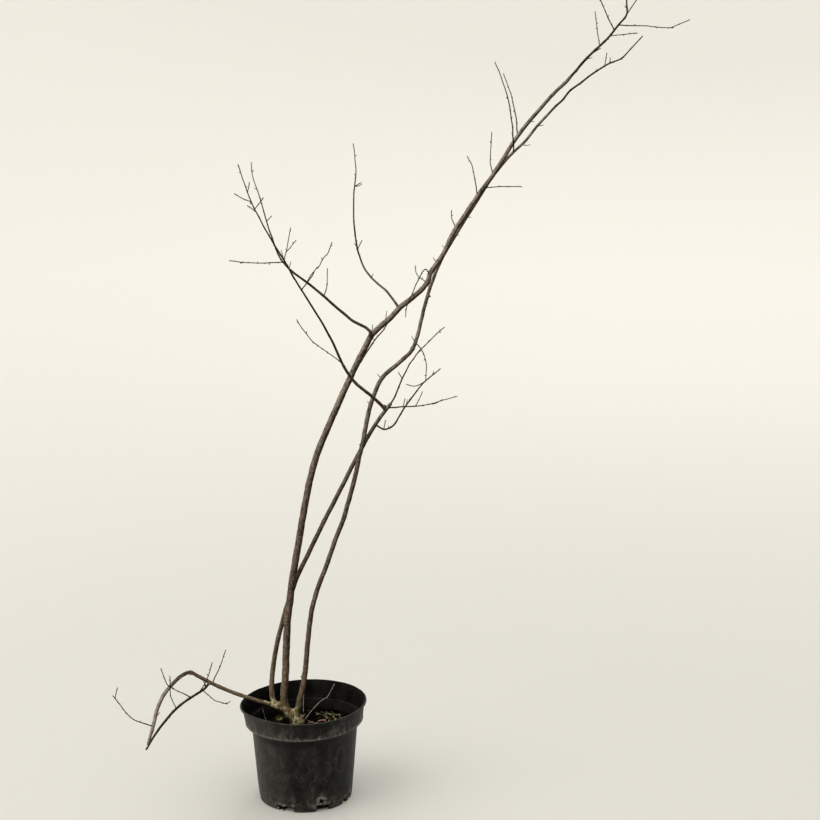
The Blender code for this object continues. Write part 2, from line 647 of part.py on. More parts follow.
def soil_block():
    """A block that holds all of the root crown that would lie in the soil."""
    centre_x, centre_y = ROOT_CENTRE
    half = SOIL_LEVEL_RADIUS
    square = ((-half, -half), (half, -half), (half, half), (-half, half))
    corners = [(centre_x + x, centre_y + y, z)
               for z in (SOIL_TOP - CROWN_CUT_DEPTH, SOIL_TOP + GAP) for x, y in square]
    faces = [[3, 2, 1, 0], [4, 5, 6, 7], [0, 1, 5, 4], [1, 2, 6, 5], [2, 3, 7, 6], [3, 0, 4, 7]]
    return add_object("soil_block", corners, faces)


def build_crown(limbs):
    """The root crown: the feet of all stems and the root ridges, fused and cut flat at the soil."""
    feet = bpy.data.collections.new("feet")
    main_foot, *other_feet = STEMS
    path, radii = part_of(*limbs[main_foot], 0.0, STEMS[main_foot]["foot"])
    radii = radii + CROWN_FLARE * np.exp(-(path[:, 2] - path[0][2]) / CROWN_FLARE_LENGTH)
    solid = add_object("root_crown", *tube(path, radii, STEM_SIDES))
    for name in other_feet:
        foot = part_of(*limbs[name], 0.0, STEMS[name]["foot"])
        add_object(name + "_foot", *tube(*foot, STEM_SIDES), feet)
    for bearing in ROOT_BEARINGS:
        add_object("root_ridge", *root_ridge(bearing), feet)
    apply_boolean(solid, "UNION", collection=feet)
    apply_boolean(solid, "DIFFERENCE", soil_block())
    finish(solid)


def shoot_path(parent, place, reach, sag):
    """A shoot from a place along its parent, bowed so that it turns up or down along its length."""
    start = point_at(parent, place * lengths_along(parent)[-1])
    reach = np.array(reach, float)
    middle = start + reach / 2 - np.array([0.0, 0.0, sag])
    return smooth_path([start, middle, start + reach], TWIG_STEP)


def spur_paths(path, radii, random_source):
    """Short spurs round a twig, each a turn on from the last, at seeded places and lengths."""
    along = lengths_along(path)
    frames = frames_along(path)
    turn = random_source.uniform(0.0, 360.0)
    place = random_source.uniform(*SPUR_SPACING)
    spurs = []
    while place < along[-1] - SPUR_LENGTH[0]:
        _, side, other = frames[int(np.searchsorted(along, place)) - 1]
        heading = unit(point_at(path, place + GAP) - point_at(path, place - GAP))
        outward = math.cos(math.radians(turn)) * side + math.sin(math.radians(turn)) * other
        lean = math.radians(SPUR_LEAN)
        start = point_at(path, place)
        length = random_source.uniform(*SPUR_LENGTH)
        tip = start + length * (math.cos(lean) * heading + math.sin(lean) * outward)
        spurs.append(np.array([start, tip]))
        turn += SPUR_TURN
        place += random_source.uniform(*SPUR_SPACING)
    return spurs


def distance_between(path, other):
    """Shortest distance from a path's points to another path's pieces."""
    starts, along = other[:-1], np.diff(other, axis=0)
    shortest = float("inf")
    for point in path:
        share = np.clip(np.sum((point - starts) * along, axis=1) / np.sum(along ** 2, axis=1), 0.0, 1.0)
        distances = np.linalg.norm(starts + share[:, None] * along - point, axis=1)
        shortest = min(shortest, distances.min())
    return shortest


def grow_masses(limbs):
    """Every mass as a list of twigs, the mass's stem first, then its shoots, then its spurs."""
    masses = {}
    for name, mass in MASSES.items():
        stem = rooted_path(mass, limbs[mass["on"]][0], TWIG_STEP)
        twigs = [(stem, radii_along(stem, mass["radii"]))]
        for parent, place, reach, sag, radius in mass["shoots"]:
            path = shoot_path(twigs[parent][0], place, reach, sag)
            twigs.append((path, radii_along(path, (radius, TWIG_TIP_RADIUS))))
        masses[name] = twigs
    for name, mass in MASSES.items():
        random_source = random.Random(mass["seed"])
        leading = list(masses[name])
        points = np.concatenate([path for path, _ in leading])
        low, high = points.min(axis=0) - SPUR_ROOM, points.max(axis=0) + SPUR_ROOM
        others = list(limbs.values()) + [twig for key in masses if key != name for twig in masses[key]]
        for path, radii in leading:
            for spur in spur_paths(path, radii, random_source):
                inside = np.all(spur[1] > low) and np.all(spur[1] < high)
                clear = all(distance_between(np.linspace(*spur, 5), other)
                            > other_radii.max() + SPUR_RADIUS[0] + GAP
                            for other, other_radii in others)
                if inside and clear:
                    masses[name].append((spur, np.array(SPUR_RADIUS)))
    return masses


def build_masses(limbs, masses):
    """Joins each mass's twigs by one union and cuts it clear of the limb that carries it."""
    for name, twigs in masses.items():
        shoots = bpy.data.collections.new(name + "_shoots")
        solid = add_object(name, *tube(*twigs[0], MASS_STEM_SIDES))
        for path, radii in twigs[1:]:
            add_object(name + "_shoot", *tube(path, radii, SHOOT_SIDES), shoots)
        apply_boolean(solid, "UNION", collection=shoots)
        if not MASSES[name]["tip"]:
            carrier = MASSES[name]["on"]
            sides = BOUGH_SIDES if carrier in BOUGHS and not BOUGHS[carrier]["tip"] else STEM_SIDES
            cut_clear(solid, limbs[carrier], sides)
        finish(solid)


def main():
    clear_scene()
    build_pot()
    build_soil()
    limbs = grow_limbs()
    build_crown(limbs)
    build_stems(limbs)
    build_masses(limbs, grow_masses(limbs))


main()
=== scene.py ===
"""Looks of a winterberry shrub in its nursery pot, bare in winter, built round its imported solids.

The limbs and masses of twigs are grown again from the named sizes and the seeded rule that made
their solids, then carried on to rough bark, collars, buds and finer twigs. Tables and lengths are
in centimetres, with +Z up and the origin in the middle of the pot's underside.
"""

import math
import random

import bmesh
import bpy
import numpy as np
from mathutils import Matrix, Vector, noise


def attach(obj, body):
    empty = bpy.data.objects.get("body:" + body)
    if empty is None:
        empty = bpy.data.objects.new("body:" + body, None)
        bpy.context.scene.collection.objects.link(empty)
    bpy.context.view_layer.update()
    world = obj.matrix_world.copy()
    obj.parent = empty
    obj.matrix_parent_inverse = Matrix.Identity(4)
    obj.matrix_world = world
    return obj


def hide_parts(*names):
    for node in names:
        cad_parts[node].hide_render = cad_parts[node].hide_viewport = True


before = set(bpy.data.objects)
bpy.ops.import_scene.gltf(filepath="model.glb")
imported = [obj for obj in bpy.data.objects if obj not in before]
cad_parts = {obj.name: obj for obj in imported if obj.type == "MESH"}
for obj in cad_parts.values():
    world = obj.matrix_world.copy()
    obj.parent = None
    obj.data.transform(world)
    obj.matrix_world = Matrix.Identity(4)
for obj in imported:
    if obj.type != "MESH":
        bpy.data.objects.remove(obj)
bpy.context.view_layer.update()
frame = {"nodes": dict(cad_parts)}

CM = 0.01                      # one centimetre of the tables, in metres
GAP = 0.03                     # space between the solids of neighbouring limbs

# Pot, as outside radii and heights
POT_HEIGHT = 17.85
POT_LIP_RADIUS = 11.6
POT_LIP_HEIGHT = 0.45
POT_LIP_WIDTH = 0.35
POT_BAND_RADIUS = 10.75
POT_BAND_Z = 14.5
POT_NECK_RADIUS = 9.65
POT_NECK_Z = 13.1
POT_BASE_RADIUS = 8.54
POT_CORNER = 0.2
POT_LEDGE_Z = POT_BAND_Z - 0.06
POT_WALL = 0.17
POT_FLOOR = 0.3
POT_SEGMENTS = 320
RIM_TILT_X = 0.034
RIM_TILT_Y = 0.005
RIM_BUMP = 0.42                # the rim is bent up this much at one place
RIM_BUMP_BEARING = -132.0
RIM_BUMP_SPREAD = 32.0
POT_SHIFT = (0.2, -0.5, 0.0)   # the pot's middle, from the middle of the frame
RIM_SHIFT = -0.25
LEAN_START = 4.0
LEAN_FULL = 8.0
LIP_WAVE = 0.05                # unevenness of the lip
WALL_WAVE = 0.03               # and of the wall
CORNER_RING = 2.5              # how thick the pot is round its notches
CORNER_RING_HEIGHT = 2.7

# Drain notches round the foot: their bearings, and the shapes that take turns. Each shape is a few
# cuts of (depth, outline), and an outline is (across, height) pairs, from right to left over the cut.
NOTCH_BEARINGS = (-112.0, -64.8, -24.0, 20.0, 65.0, 110.0, 150.0, -171.0)
NOTCH_OVERSHOOT = 0.6
NOTCH_FOOT = -NOTCH_OVERSHOOT
NOTCH_SHAPES = (
    ((2.2, ((1.75, NOTCH_FOOT), (1.75, 0.8), (1.6, 1.15), (0.9, 1.05), (-0.2, 1.1), (-0.3, NOTCH_FOOT))),
     (0.7, ((0.1, 0.25), (0.1, 0.95), (-0.4, 0.85), (-0.8, 1.15), (-1.75, 1.0), (-1.2, 0.55), (-1.3, 0.1),
            (-0.9, NOTCH_FOOT), (-0.4, 0.1)))),
    ((1.1, ((1.35, NOTCH_FOOT), (1.4, 0.6), (0.9, 0.85), (0.85, 1.35), (0.1, 1.05), (-0.6, 1.4),
            (-1.3, 1.2), (-1.15, 0.7), (-1.5, NOTCH_FOOT))),
     (0.8, ((0.15, 1.7), (0.3, 2.1), (0.05, 2.35), (-0.3, 2.3), (-0.35, 2.6), (-0.75, 2.45), (-0.6, 2.0),
            (-0.9, 1.75), (-0.4, 1.6)))),
    ((0.9, ((1.5, NOTCH_FOOT), (1.6, 0.9), (1.2, 1.5), (0.6, 1.3), (0.5, NOTCH_FOOT))),
     (0.8, ((-0.2, NOTCH_FOOT), (-0.1, 0.8), (-0.6, 1.3), (-1.0, 0.9), (-1.6, 0.75), (-1.5, NOTCH_FOOT)))),
)
NOTCH_WEAR = 0.65              # how far round a notch the plastic is scuffed pale

# Soil
SOIL_TOP = 13.3
SOIL_EDGE_DROP = 0.4
SOIL_LEVEL_RADIUS = 4.0
SOIL_RINGS = 90
SOIL_LUMPS = 0.13
CRUMB_COUNT = 1500
CRUMB_SIZE = (0.06, 0.26)

SPRIG_TUFTS = ((3.8, 5.2, 0.5, 16), (4.6, 3.4, 0.7, 24), (5.6, 4.4, 0.45, 12), (7.3, 2.7, 0.5, 20),
               (6.2, 1.9, 0.4, 12), (-0.5, 3.9, 0.45, 26), (2.2, 4.6, 0.4, 8), (-4.75, 2.6, 0.45, 14))
MOSS_COUNT = 380

# Root crown
CROWN_CUT_DEPTH = 3.6
CROWN_FLARE = 0.75
CROWN_FLARE_LENGTH = 1.6
CROWN_VOXEL = 0.085
CROWN_KNOBS = (((-2.15, 0.0, 15.2), (1.1, 0.9, 1.1)), ((-1.4, 0.0, 14.3), (1.3, 1.15, 1.0)),
               ((-1.2, -0.1, 13.65), (1.4, 1.2, 0.9)), ((-4.55, -0.1, 17.15), (0.6, 0.5, 0.5)),
               ((-3.3, 0.0, 16.3), (0.75, 0.65, 0.7)), ((-5.5, 0.1, 17.5), (0.6, 0.5, 0.4)))
ROOT_CENTRE = (-1.3, 0.0)
ROOT_BEARINGS = (-150.0, -75.0, 15.0, 120.0)
ROOT_SPREAD = 1.8
ROOT_RISE = 0.72
ROOT_SAG = 0.1
ROOT_RADII = (0.62, 0.5, 0.3)

# Spacing of the rings that the solids have, and of the finer rings grown between them
STEM_STEP = 3.4
BOUGH_STEP = 2.6
TWIG_STEP = 2.4
FINE_STEM_STEP = 0.13
FINE_TWIG_STEP = 0.14
STEM_SIDES = 26
BOUGH_SIDES = 20
TWIG_SIDES = 12
SPUR_SIDES = 8

# The seeded rule for spurs, and what grows on with it here
SPUR_SPACING = (2.6, 4.2)
SPUR_LENGTH = (0.45, 0.95)
SPUR_TURN = 144.0
SPUR_LEAN = 55.0
SPUR_RADIUS = (0.075, 0.05)
SPUR_ROOM = 1.2
TWIG_TIP_RADIUS = 0.055
TIP_RUN = 0.4
SPUR_SHARE = 0.32              # how much of a spur is wood; the rest of it is left to its bud
TWIGLET_SPACING = (4.5, 9.0)
TWIGLET_LENGTH = (0.12, 0.28)
TWIGLET_RADIUS = (0.055, 0.035)
BUD_SPACING = (1.3, 2.4)
SCAR_SPACING = (2.4, 5.2)
BUD_TURN = 144.0
BUD_LENGTH = (0.12, 0.19)
BUD_RADIUS = 0.06
TWIG_LEAST = 0.078             # no twig is thinner than this radius here
# Direction of the bark's painted light; the side away from it gets painted shade
LIT_SIDE = (-0.42, -0.35, 0.84)
NODE_SWELL = 0.16              # a twig is this much thicker at a bud
SCAR_SWELL = 0.05              # and a stem at a scar
WANDER = 0.07                  # how far a limb strays from its smooth line at a node

FLOOR_COLOUR = (0.72, 0.71, 0.67)
WALL_COLOUR = (0.93, 0.915, 0.87)

WEATHERED_LIMB = "low_stem_fall"    # its bark has bleached pale

STEMS = {
    "stem_middle": {
        "foot": 5.8,
        "points": [(-1.3, 0.0, 12.1), (-1.75, 0.0, 14.0), (-2.85, 0.0, 15.4), (-3.5, 0.0, 16.8),
                   (-3.62, 0.0, 18.2), (-3.5, 0.0, 20.0), (-3.28, 0.0, 22.0), (-3.12, 0.0, 26.5),
                   (-2.75, 0.0, 33.0), (-1.48, 0.1, 42.5), (-0.45, 0.2, 48.0), (0.45, 0.3, 54.0), (2.8, 0.8, 63.4), (6.55, 1.4, 72.3),
                   (10.2, 1.8, 80.35), (11.5, 1.95, 82.8), (12.83, 2.0, 85.2), (13.68, 2.05, 86.12),
                   (16.0, 2.25, 88.15), (17.65, 2.4, 89.95), (20.1, 2.9, 91.8), (22.1, 3.05, 93.75),
                   (22.75, 3.25, 94.75), (23.05, 3.5, 95.8), (24.03, 3.8, 97.3), (25.25, 4.05, 99.1),
                   (26.85, 4.6, 102.45), (29.17, 5.3, 106.0),
                   (31.45, 5.9, 109.55), (34.2, 6.5, 113.1), (36.0, 7.0, 116.0), (37.9, 7.4, 119.05),
                   (39.8, 7.8, 121.55), (41.8, 8.3, 123.85), (44.7, 9.1, 127.05), (46.85, 9.8, 129.1),
                   (47.9, 10.2, 130.25)],
        "radii": (0.68, 0.66, 0.65, 0.62, 0.6, 0.57, 0.54, 0.46, 0.42, 0.38, 0.34, 0.29),
    },
    "stem_right": {
        "foot": 3.8,
        "points": [(-1.35, -0.2, 13.0), (-1.25, -0.3, 15.6), (-0.9, -0.4, 17.15), (-0.35, -0.4, 19.5),
                   (0.1, -0.35, 21.9), (0.93, -0.2, 29.0), (1.8, -0.1, 35.7), (4.7, 0.1, 44.4),
                   (6.05, 0.2, 48.2), (7.75, 0.3, 52.7), (9.2, 0.5, 58.2), (10.95, 0.9, 65.5),
                   (12.7, 1.9, 73.2), (14.6, 2.6, 77.55), (19.95, 3.5, 82.35), (20.9, 3.8, 84.8),
                   (22.1, 4.4, 90.2), (23.45, 4.8, 94.5), (24.4, 5.1, 96.95), (25.33, 5.4, 98.8),
                   (27.5, 5.7, 102.4),
                   (29.7, 6.2, 106.0), (32.0, 6.7, 109.5), (34.35, 7.2, 113.1), (35.85, 7.3, 115.0),
                   (37.0, 7.2, 116.3), (38.0, 7.1, 117.3), (39.6, 7.0, 118.8), (42.0, 6.7, 121.8),
                   (44.1, 6.5, 124.05)],
        "radii": (0.56, 0.48, 0.44, 0.42, 0.42, 0.41, 0.38, 0.33, 0.3, 0.28, 0.25, 0.22),
    },
    "stem_left": {
        "foot": 4.2,
        "points": [(-2.8, 0.1, 15.3), (-4.2, 0.15, 16.5), (-5.4, 0.3, 17.25), (-5.82, 0.45, 18.3),
                   (-5.93, 0.7, 19.5), (-5.83, 0.9, 21.6), (-5.45, 1.0, 24.8), (-3.6, 1.3, 33.3),
                   (-2.25, 1.5, 37.7),
                   (3.0, 1.7, 49.3), (9.4, 2.1, 61.9), (11.9, 2.1, 66.6), (14.1, 1.3, 70.3),
                   (16.0, 0.8, 72.9)],
        "radii": (0.5, 0.44, 0.41, 0.41, 0.4, 0.38, 0.33),
    },
    "low_stem_rise": {
        "foot": 3.4,
        "points": [(-3.4, 0.0, 16.0), (-4.9, -0.1, 16.65), (-6.0, -0.35, 17.15), (-7.45, -0.9, 17.8),
                   (-10.1, -1.8, 19.05), (-12.8, -2.6, 20.4), (-16.6, -4.2, 22.9),
                   (-19.4, -5.3, 24.9)],
        "radii": (0.44, 0.37, 0.35, 0.34, 0.33),
    },
}

BOUGHS = {
    "low_stem_fall": {
        "on": "low_stem_rise", "tip": True,
        "points": [(-19.4, -5.3, 24.9), (-20.35, -5.6, 25.1), (-21.3, -5.9, 24.7), (-22.7, -6.4, 23.5),
                   (-24.55, -7.5, 21.3), (-25.5, -8.3, 19.2), (-26.0, -9.4, 16.9)],
        "radii": (0.34, 0.34, 0.34, 0.33),
    },
    "bough_left_back": {
        "on": "stem_middle", "tip": False,
        "points": [(12.7, 2.0, 85.5), (11.47, 3.3, 86.42), (10.13, 4.3, 86.93), (9.05, 5.0, 87.41),
                   (7.8, 5.7, 88.35), (6.0, 6.4, 89.75), (3.95, 7.2, 91.5), (-2.1, 8.8, 96.1)],
        "radii": (0.27, 0.25, 0.23, 0.2),
    },
    "bough_left_front": {
        "on": "stem_left", "tip": False,
        "points": [(15.0, 0.8, 72.0), (12.7, -0.1, 74.5), (9.8, -1.0, 77.1), (7.7, -1.7, 80.5),
                   (6.1, -2.9, 84.4), (2.2, -5.7, 91.85), (0.0, -7.1, 95.7)],
        "radii": (0.29, 0.28, 0.21, 0.17, 0.15),
    },
    "bough_upright": {
        "on": "stem_middle", "tip": False,
        "points": [(17.6, 2.4, 89.9), (16.35, 4.9, 91.35), (15.2, 6.6, 92.58), (13.58, 8.0, 93.78),
                   (11.25, 10.1, 96.2), (10.2, 11.1, 98.7)],
        "radii": (0.24, 0.2, 0.18, 0.16),
    },
}

# Each shoot is (parent, place, reach, sag, radius): parent 0 is the mass's own stem and n its nth
# shoot, place is the fraction along the parent, and reach runs from there to the shoot's tip.
MASSES = {
    "twigs_top": {
        "on": "stem_middle", "tip": True, "seed": 1,
        "points": [(47.9, 10.2, 130.25), (49.8, 11.0, 132.45), (52.2, 12.0, 134.85),
                   (55.05, 13.0, 137.5), (56.6, 13.4, 139.55), (58.05, 13.8, 141.25),
                   (58.1, 14.4, 143.9), (58.5, 15.2, 148.9)],
        "radii": (0.24, 0.21, 0.17, 0.09),
        "shoots": [(0, 0.245, (1.8, 1.2, 1.1), 0.0, 0.08), (0, 0.345, (-0.2, 6.5, 6.5), 0.1, 0.09),
                   (0, 0.46, (5.4, 4.1, 0.8), 0.0, 0.08), (0, 0.515, (-5.1, -5.8, 9.0), 0.3, 0.11),
                   (0, 0.565, (9.1, -4.2, -0.85), -0.05, 0.11),
                   (0, 0.665, (3.5, -3.1, 6.4), 0.35, 0.1), (5, 0.97, (2.9, -1.25, 1.2), 0.0, 0.08)],
    },
    "twigs_right": {
        "on": "stem_right", "tip": True, "seed": 2,
        "points": [(44.1, 6.5, 124.05), (45.95, 6.4, 125.9), (47.4, 6.0, 127.6), (48.5, 5.7, 128.45),
                   (49.9, 5.4, 129.5), (52.05, 4.95, 131.05), (53.9, 4.6, 132.25), (56.15, 4.2, 133.2),
                   (57.6, 3.8, 134.65), (59.5, 3.3, 136.75)],
        "radii": (0.2, 0.17, 0.14, 0.09),
        "shoots": [(0, 0.6, (0.5, 1.4, 2.2), 0.0, 0.08)],
    },
    "twigs_left_back": {
        "on": "bough_left_back", "tip": True, "seed": 3,
        "points": [(-2.1, 8.8, 96.1), (-4.2, 9.8, 98.5), (-6.1, 11.3, 103.2), (-7.8, 13.0, 108.5),
                   (-9.4, 14.5, 113.5), (-9.6, 14.9, 115.2)],
        "radii": (0.17, 0.14, 0.1, 0.06),
        "shoots": [(0, 0.09, (0.9, 4.6, 5.9), 0.1, 0.09), (1, 0.3, (2.0, -2.3, 2.2), 0.1, 0.07),
                   (0, 0.48, (1.0, -1.1, 0.9), 0.0, 0.07)],
    },
    "twigs_left_front": {
        "on": "bough_left_front", "tip": True, "seed": 4,
        "points": [(0.0, -7.1, 95.7), (-2.2, -9.0, 100.1), (-4.6, -11.2, 104.6),
                   (-7.1, -14.3, 110.8), (-8.2, -16.3, 115.0)],
        "radii": (0.16, 0.13, 0.1, 0.06),
        "shoots": [(0, 0.16, (-7.9, -10.9, 0.95), 0.35, 0.1), (0, 0.61, (-1.6, 1.5, 1.0), 0.0, 0.07),
                   (0, 0.64, (1.6, -2.0, 1.8), 0.1, 0.07), (0, 0.7, (-2.5, -1.7, 1.3), 0.1, 0.07),
                   (0, 0.78, (0.2, 1.2, 1.5), 0.0, 0.07)],
    },
    "twigs_upright": {
        "on": "bough_upright", "tip": True, "seed": 5,
        "points": [(10.2, 11.1, 98.7), (9.3, 12.9, 103.3), (9.1, 15.3, 109.6), (9.5, 16.7, 113.6),
                   (8.9, 18.4, 118.6)],
        "radii": (0.17, 0.14, 0.11, 0.06),
        "shoots": [(0, 0.05, (0.8, -0.6, 1.6), 0.0, 0.08), (0, 0.62, (1.1, 0.6, 0.6), 0.0, 0.07)],
    },
    "twigs_whip_front": {
        "on": "stem_right", "tip": False, "seed": 6,
        "points": [(37.9, 6.8, 117.0), (37.4, 4.2, 121.5), (36.5, 2.2, 125.8), (35.2, 0.4, 129.5),
                   (34.0, -0.9, 132.1)],
        "radii": (0.13, 0.11, 0.09, 0.06),
        "shoots": [],
    },
    "twigs_whip_back": {
        "on": "stem_middle", "tip": False, "seed": 7,
        "points": [(38.25, 7.6, 120.1), (38.3, 10.4, 123.6), (37.65, 13.6, 127.3),
                   (36.5, 17.9, 131.2)],
        "radii": (0.12, 0.1, 0.08, 0.06),
        "shoots": [],
    },
    "twigs_whip_middle": {
        "on": "stem_middle", "tip": False, "seed": 8,
        "points": [(33.9, 6.9, 113.2), (33.8, 9.3, 115.4), (34.2, 12.8, 120.6)],
        "radii": (0.1, 0.08, 0.06),
        "shoots": [],
    },
    "twigs_hooked": {
        "on": "stem_middle", "tip": False, "seed": 9,
        "points": [(31.3, 6.1, 109.5), (31.0, 5.1, 111.8), (30.4, 3.5, 114.7), (29.5, 1.9, 116.3)],
        "radii": (0.1, 0.09, 0.06),
        "shoots": [],
    },
    "twigs_level": {
        "on": "stem_right", "tip": False, "seed": 10,
        "points": [(33.1, 6.6, 110.8), (34.6, 4.8, 111.1), (38.8, 0.1, 111.2)],
        "radii": (0.1, 0.08, 0.06),
        "shoots": [],
    },
    "twigs_short": {
        "on": "stem_middle", "tip": False, "seed": 11,
        "points": [(27.4, 4.9, 103.8), (27.0, 6.3, 105.2), (26.9, 8.3, 106.8)],
        "radii": (0.1, 0.08, 0.06),
        "shoots": [],
    },
    "twigs_drooping": {
        "on": "stem_middle", "tip": False, "seed": 12,
        "points": [(23.0, 3.5, 95.5), (22.65, 2.9, 96.4), (22.25, 2.6, 96.75), (21.75, 2.35, 96.4),
                   (21.25, 2.1, 95.4), (20.0, 1.7, 92.8), (19.0, 1.35, 90.4), (18.75, 1.2, 88.6)],
        "radii": (0.11, 0.09, 0.06),
        "shoots": [],
    },
    "twigs_behind": {
        "on": "stem_right", "tip": False, "seed": 13,
        "points": [(23.2, 4.7, 93.2), (22.1, 6.9, 94.3), (20.5, 10.0, 95.6), (20.4, 11.0, 96.7)],
        "radii": (0.1, 0.08, 0.06),
        "shoots": [],
    },
    "twigs_climbing": {
        "on": "stem_middle", "tip": False, "seed": 14,
        "points": [(9.75, 1.8, 79.8), (10.6, 1.35, 80.2), (11.2, 1.1, 81.2), (12.25, 0.95, 82.85),
                   (13.35, 0.85, 84.4), (14.7, 0.8, 86.0), (15.7, 0.9, 87.55)],
        "radii": (0.14, 0.13, 0.1),
        "shoots": [],
    },
    "twigs_inner_front": {
        "on": "bough_left_front", "tip": False, "seed": 15,
        "points": [(1.2, -6.2, 94.1), (2.0, -6.9, 95.2), (3.0, -8.0, 96.5), (3.7, -9.0, 97.7), (4.4, -9.9, 98.3),
                   (4.8, -10.5, 99.1), (5.3, -11.2, 99.9), (5.8, -11.9, 100.4), (6.3, -12.6, 101.4), (6.7, -13.3, 102.3)],
        "radii": (0.1, 0.08, 0.06),
        "shoots": [(0, 0.15, (1.4, -2.4, 2.0), -0.25, 0.07)],
    },
    "twigs_inner_back": {
        "on": "bough_left_back", "tip": False, "seed": 16,
        "points": [(4.1, 7.2, 91.7), (4.3, 9.6, 93.1), (4.3, 12.4, 96.1)],
        "radii": (0.1, 0.08, 0.06),
        "shoots": [],
    },
    "twigs_inner_left": {
        "on": "bough_left_front", "tip": False, "seed": 17,
        "points": [(7.7, -1.7, 80.6), (5.3, -4.1, 82.7), (2.8, -7.2, 85.2), (0.5, -10.1, 89.1)],
        "radii": (0.09, 0.07, 0.05),
        "shoots": [],
    },
    "twigs_fork_up": {
        "on": "stem_left", "tip": True, "seed": 18,
        "points": [(16.0, 0.8, 72.9), (18.1, -1.3, 77.7), (20.2, -4.5, 81.9), (22.95, -7.4, 85.3),
                   (25.35, -9.8, 87.85)],
        "radii": (0.15, 0.12, 0.1, 0.08),
        "shoots": [(0, 0.28, (-0.6, -0.6, 1.1), 0.0, 0.07)],
    },
    "twigs_fork_right": {
        "on": "stem_left", "tip": False, "seed": 19,
        "points": [(15.5, 0.9, 72.2), (17.4, 2.1, 72.2), (21.8, 5.0, 72.0), (28.0, 8.9, 73.0)],
        "radii": (0.14, 0.11, 0.09, 0.06),
        "shoots": [(0, 0.22, (0.3, 0.3, 1.3), 0.0, 0.07), (0, 0.4, (1.2, 1.5, 2.3), 0.1, 0.07),
                   (0, 0.58, (2.5, 2.4, 0.4), 0.3, 0.07)],
    },
    "twigs_rising": {
        "on": "stem_left", "tip": False, "seed": 20,
        "points": [(13.3, 1.2, 69.0), (14.9, -0.3, 68.5), (16.2, -1.4, 69.2), (17.9, -3.0, 71.9),
                   (20.1, -4.9, 75.3), (22.0, -6.6, 78.0), (24.7, -8.1, 80.5)],
        "radii": (0.17, 0.15, 0.13, 0.09),
        "shoots": [(0, 0.12, (0.3, 0.4, 1.5), 0.0, 0.07), (0, 0.8, (-2.9, -1.0, -0.25), 0.45, 0.08)],
    },
    "twigs_arc": {
        "on": "stem_right", "tip": False, "seed": 21,
        "points": [(20.6, 3.7, 83.6), (21.4, 3.7, 82.6), (22.4, 4.7, 79.8), (22.3, 6.1, 76.2)],
        "radii": (0.1, 0.08, 0.06),
        "shoots": [],
    },
    "twigs_low_tip": {
        "on": "low_stem_fall", "tip": True, "seed": 22,
        "points": [(-26.0, -9.4, 16.9), (-26.5, -9.7, 15.2), (-27.0, -10.0, 13.4)],
        "radii": (0.33, 0.3, 0.2),
        "shoots": [(0, 0.1, (-6.0, -4.2, 7.2), 1.5, 0.11), (1, 0.94, (0.4, 0.2, 1.8), 0.0, 0.07)],
    },
    "twigs_low_front": {
        "on": "low_stem_rise", "tip": False, "seed": 23,
        "points": [(-16.6, -4.2, 22.8), (-17.3, -5.2, 22.05), (-20.0, -7.5, 20.85),
                   (-22.4, -10.4, 19.4), (-24.4, -13.3, 17.4), (-26.1, -16.1, 15.0)],
        "radii": (0.21, 0.22, 0.23, 0.22, 0.17),
        "shoots": [(0, 0.12, (5.1, -5.5, -0.5), 0.65, 0.09), (0, 0.17, (3.3, -5.2, 7.4), 0.75, 0.1),
                   (0, 0.27, (-2.75, -2.4, 2.6), 0.0, 0.12), (0, 0.47, (-1.0, -0.4, 2.6), 0.2, 0.09),
                   (0, 0.07, (-0.4, -0.8, 1.8), 0.0, 0.12), (3, 0.98, (-1.65, -2.3, 4.45), 1.1, 0.1),
                   (4, 0.97, (0.05, -0.3, 3.7), 0.0, 0.08)],
    },
    "twigs_low_back": {
        "on": "low_stem_rise", "tip": False, "seed": 24,
        "points": [(-16.2, -4.0, 22.5), (-15.8, -2.1, 23.3), (-15.2, -0.4, 24.5),
                   (-14.4, 1.6, 26.8)],
        "radii": (0.11, 0.09, 0.06),
        "shoots": [],
    },
}

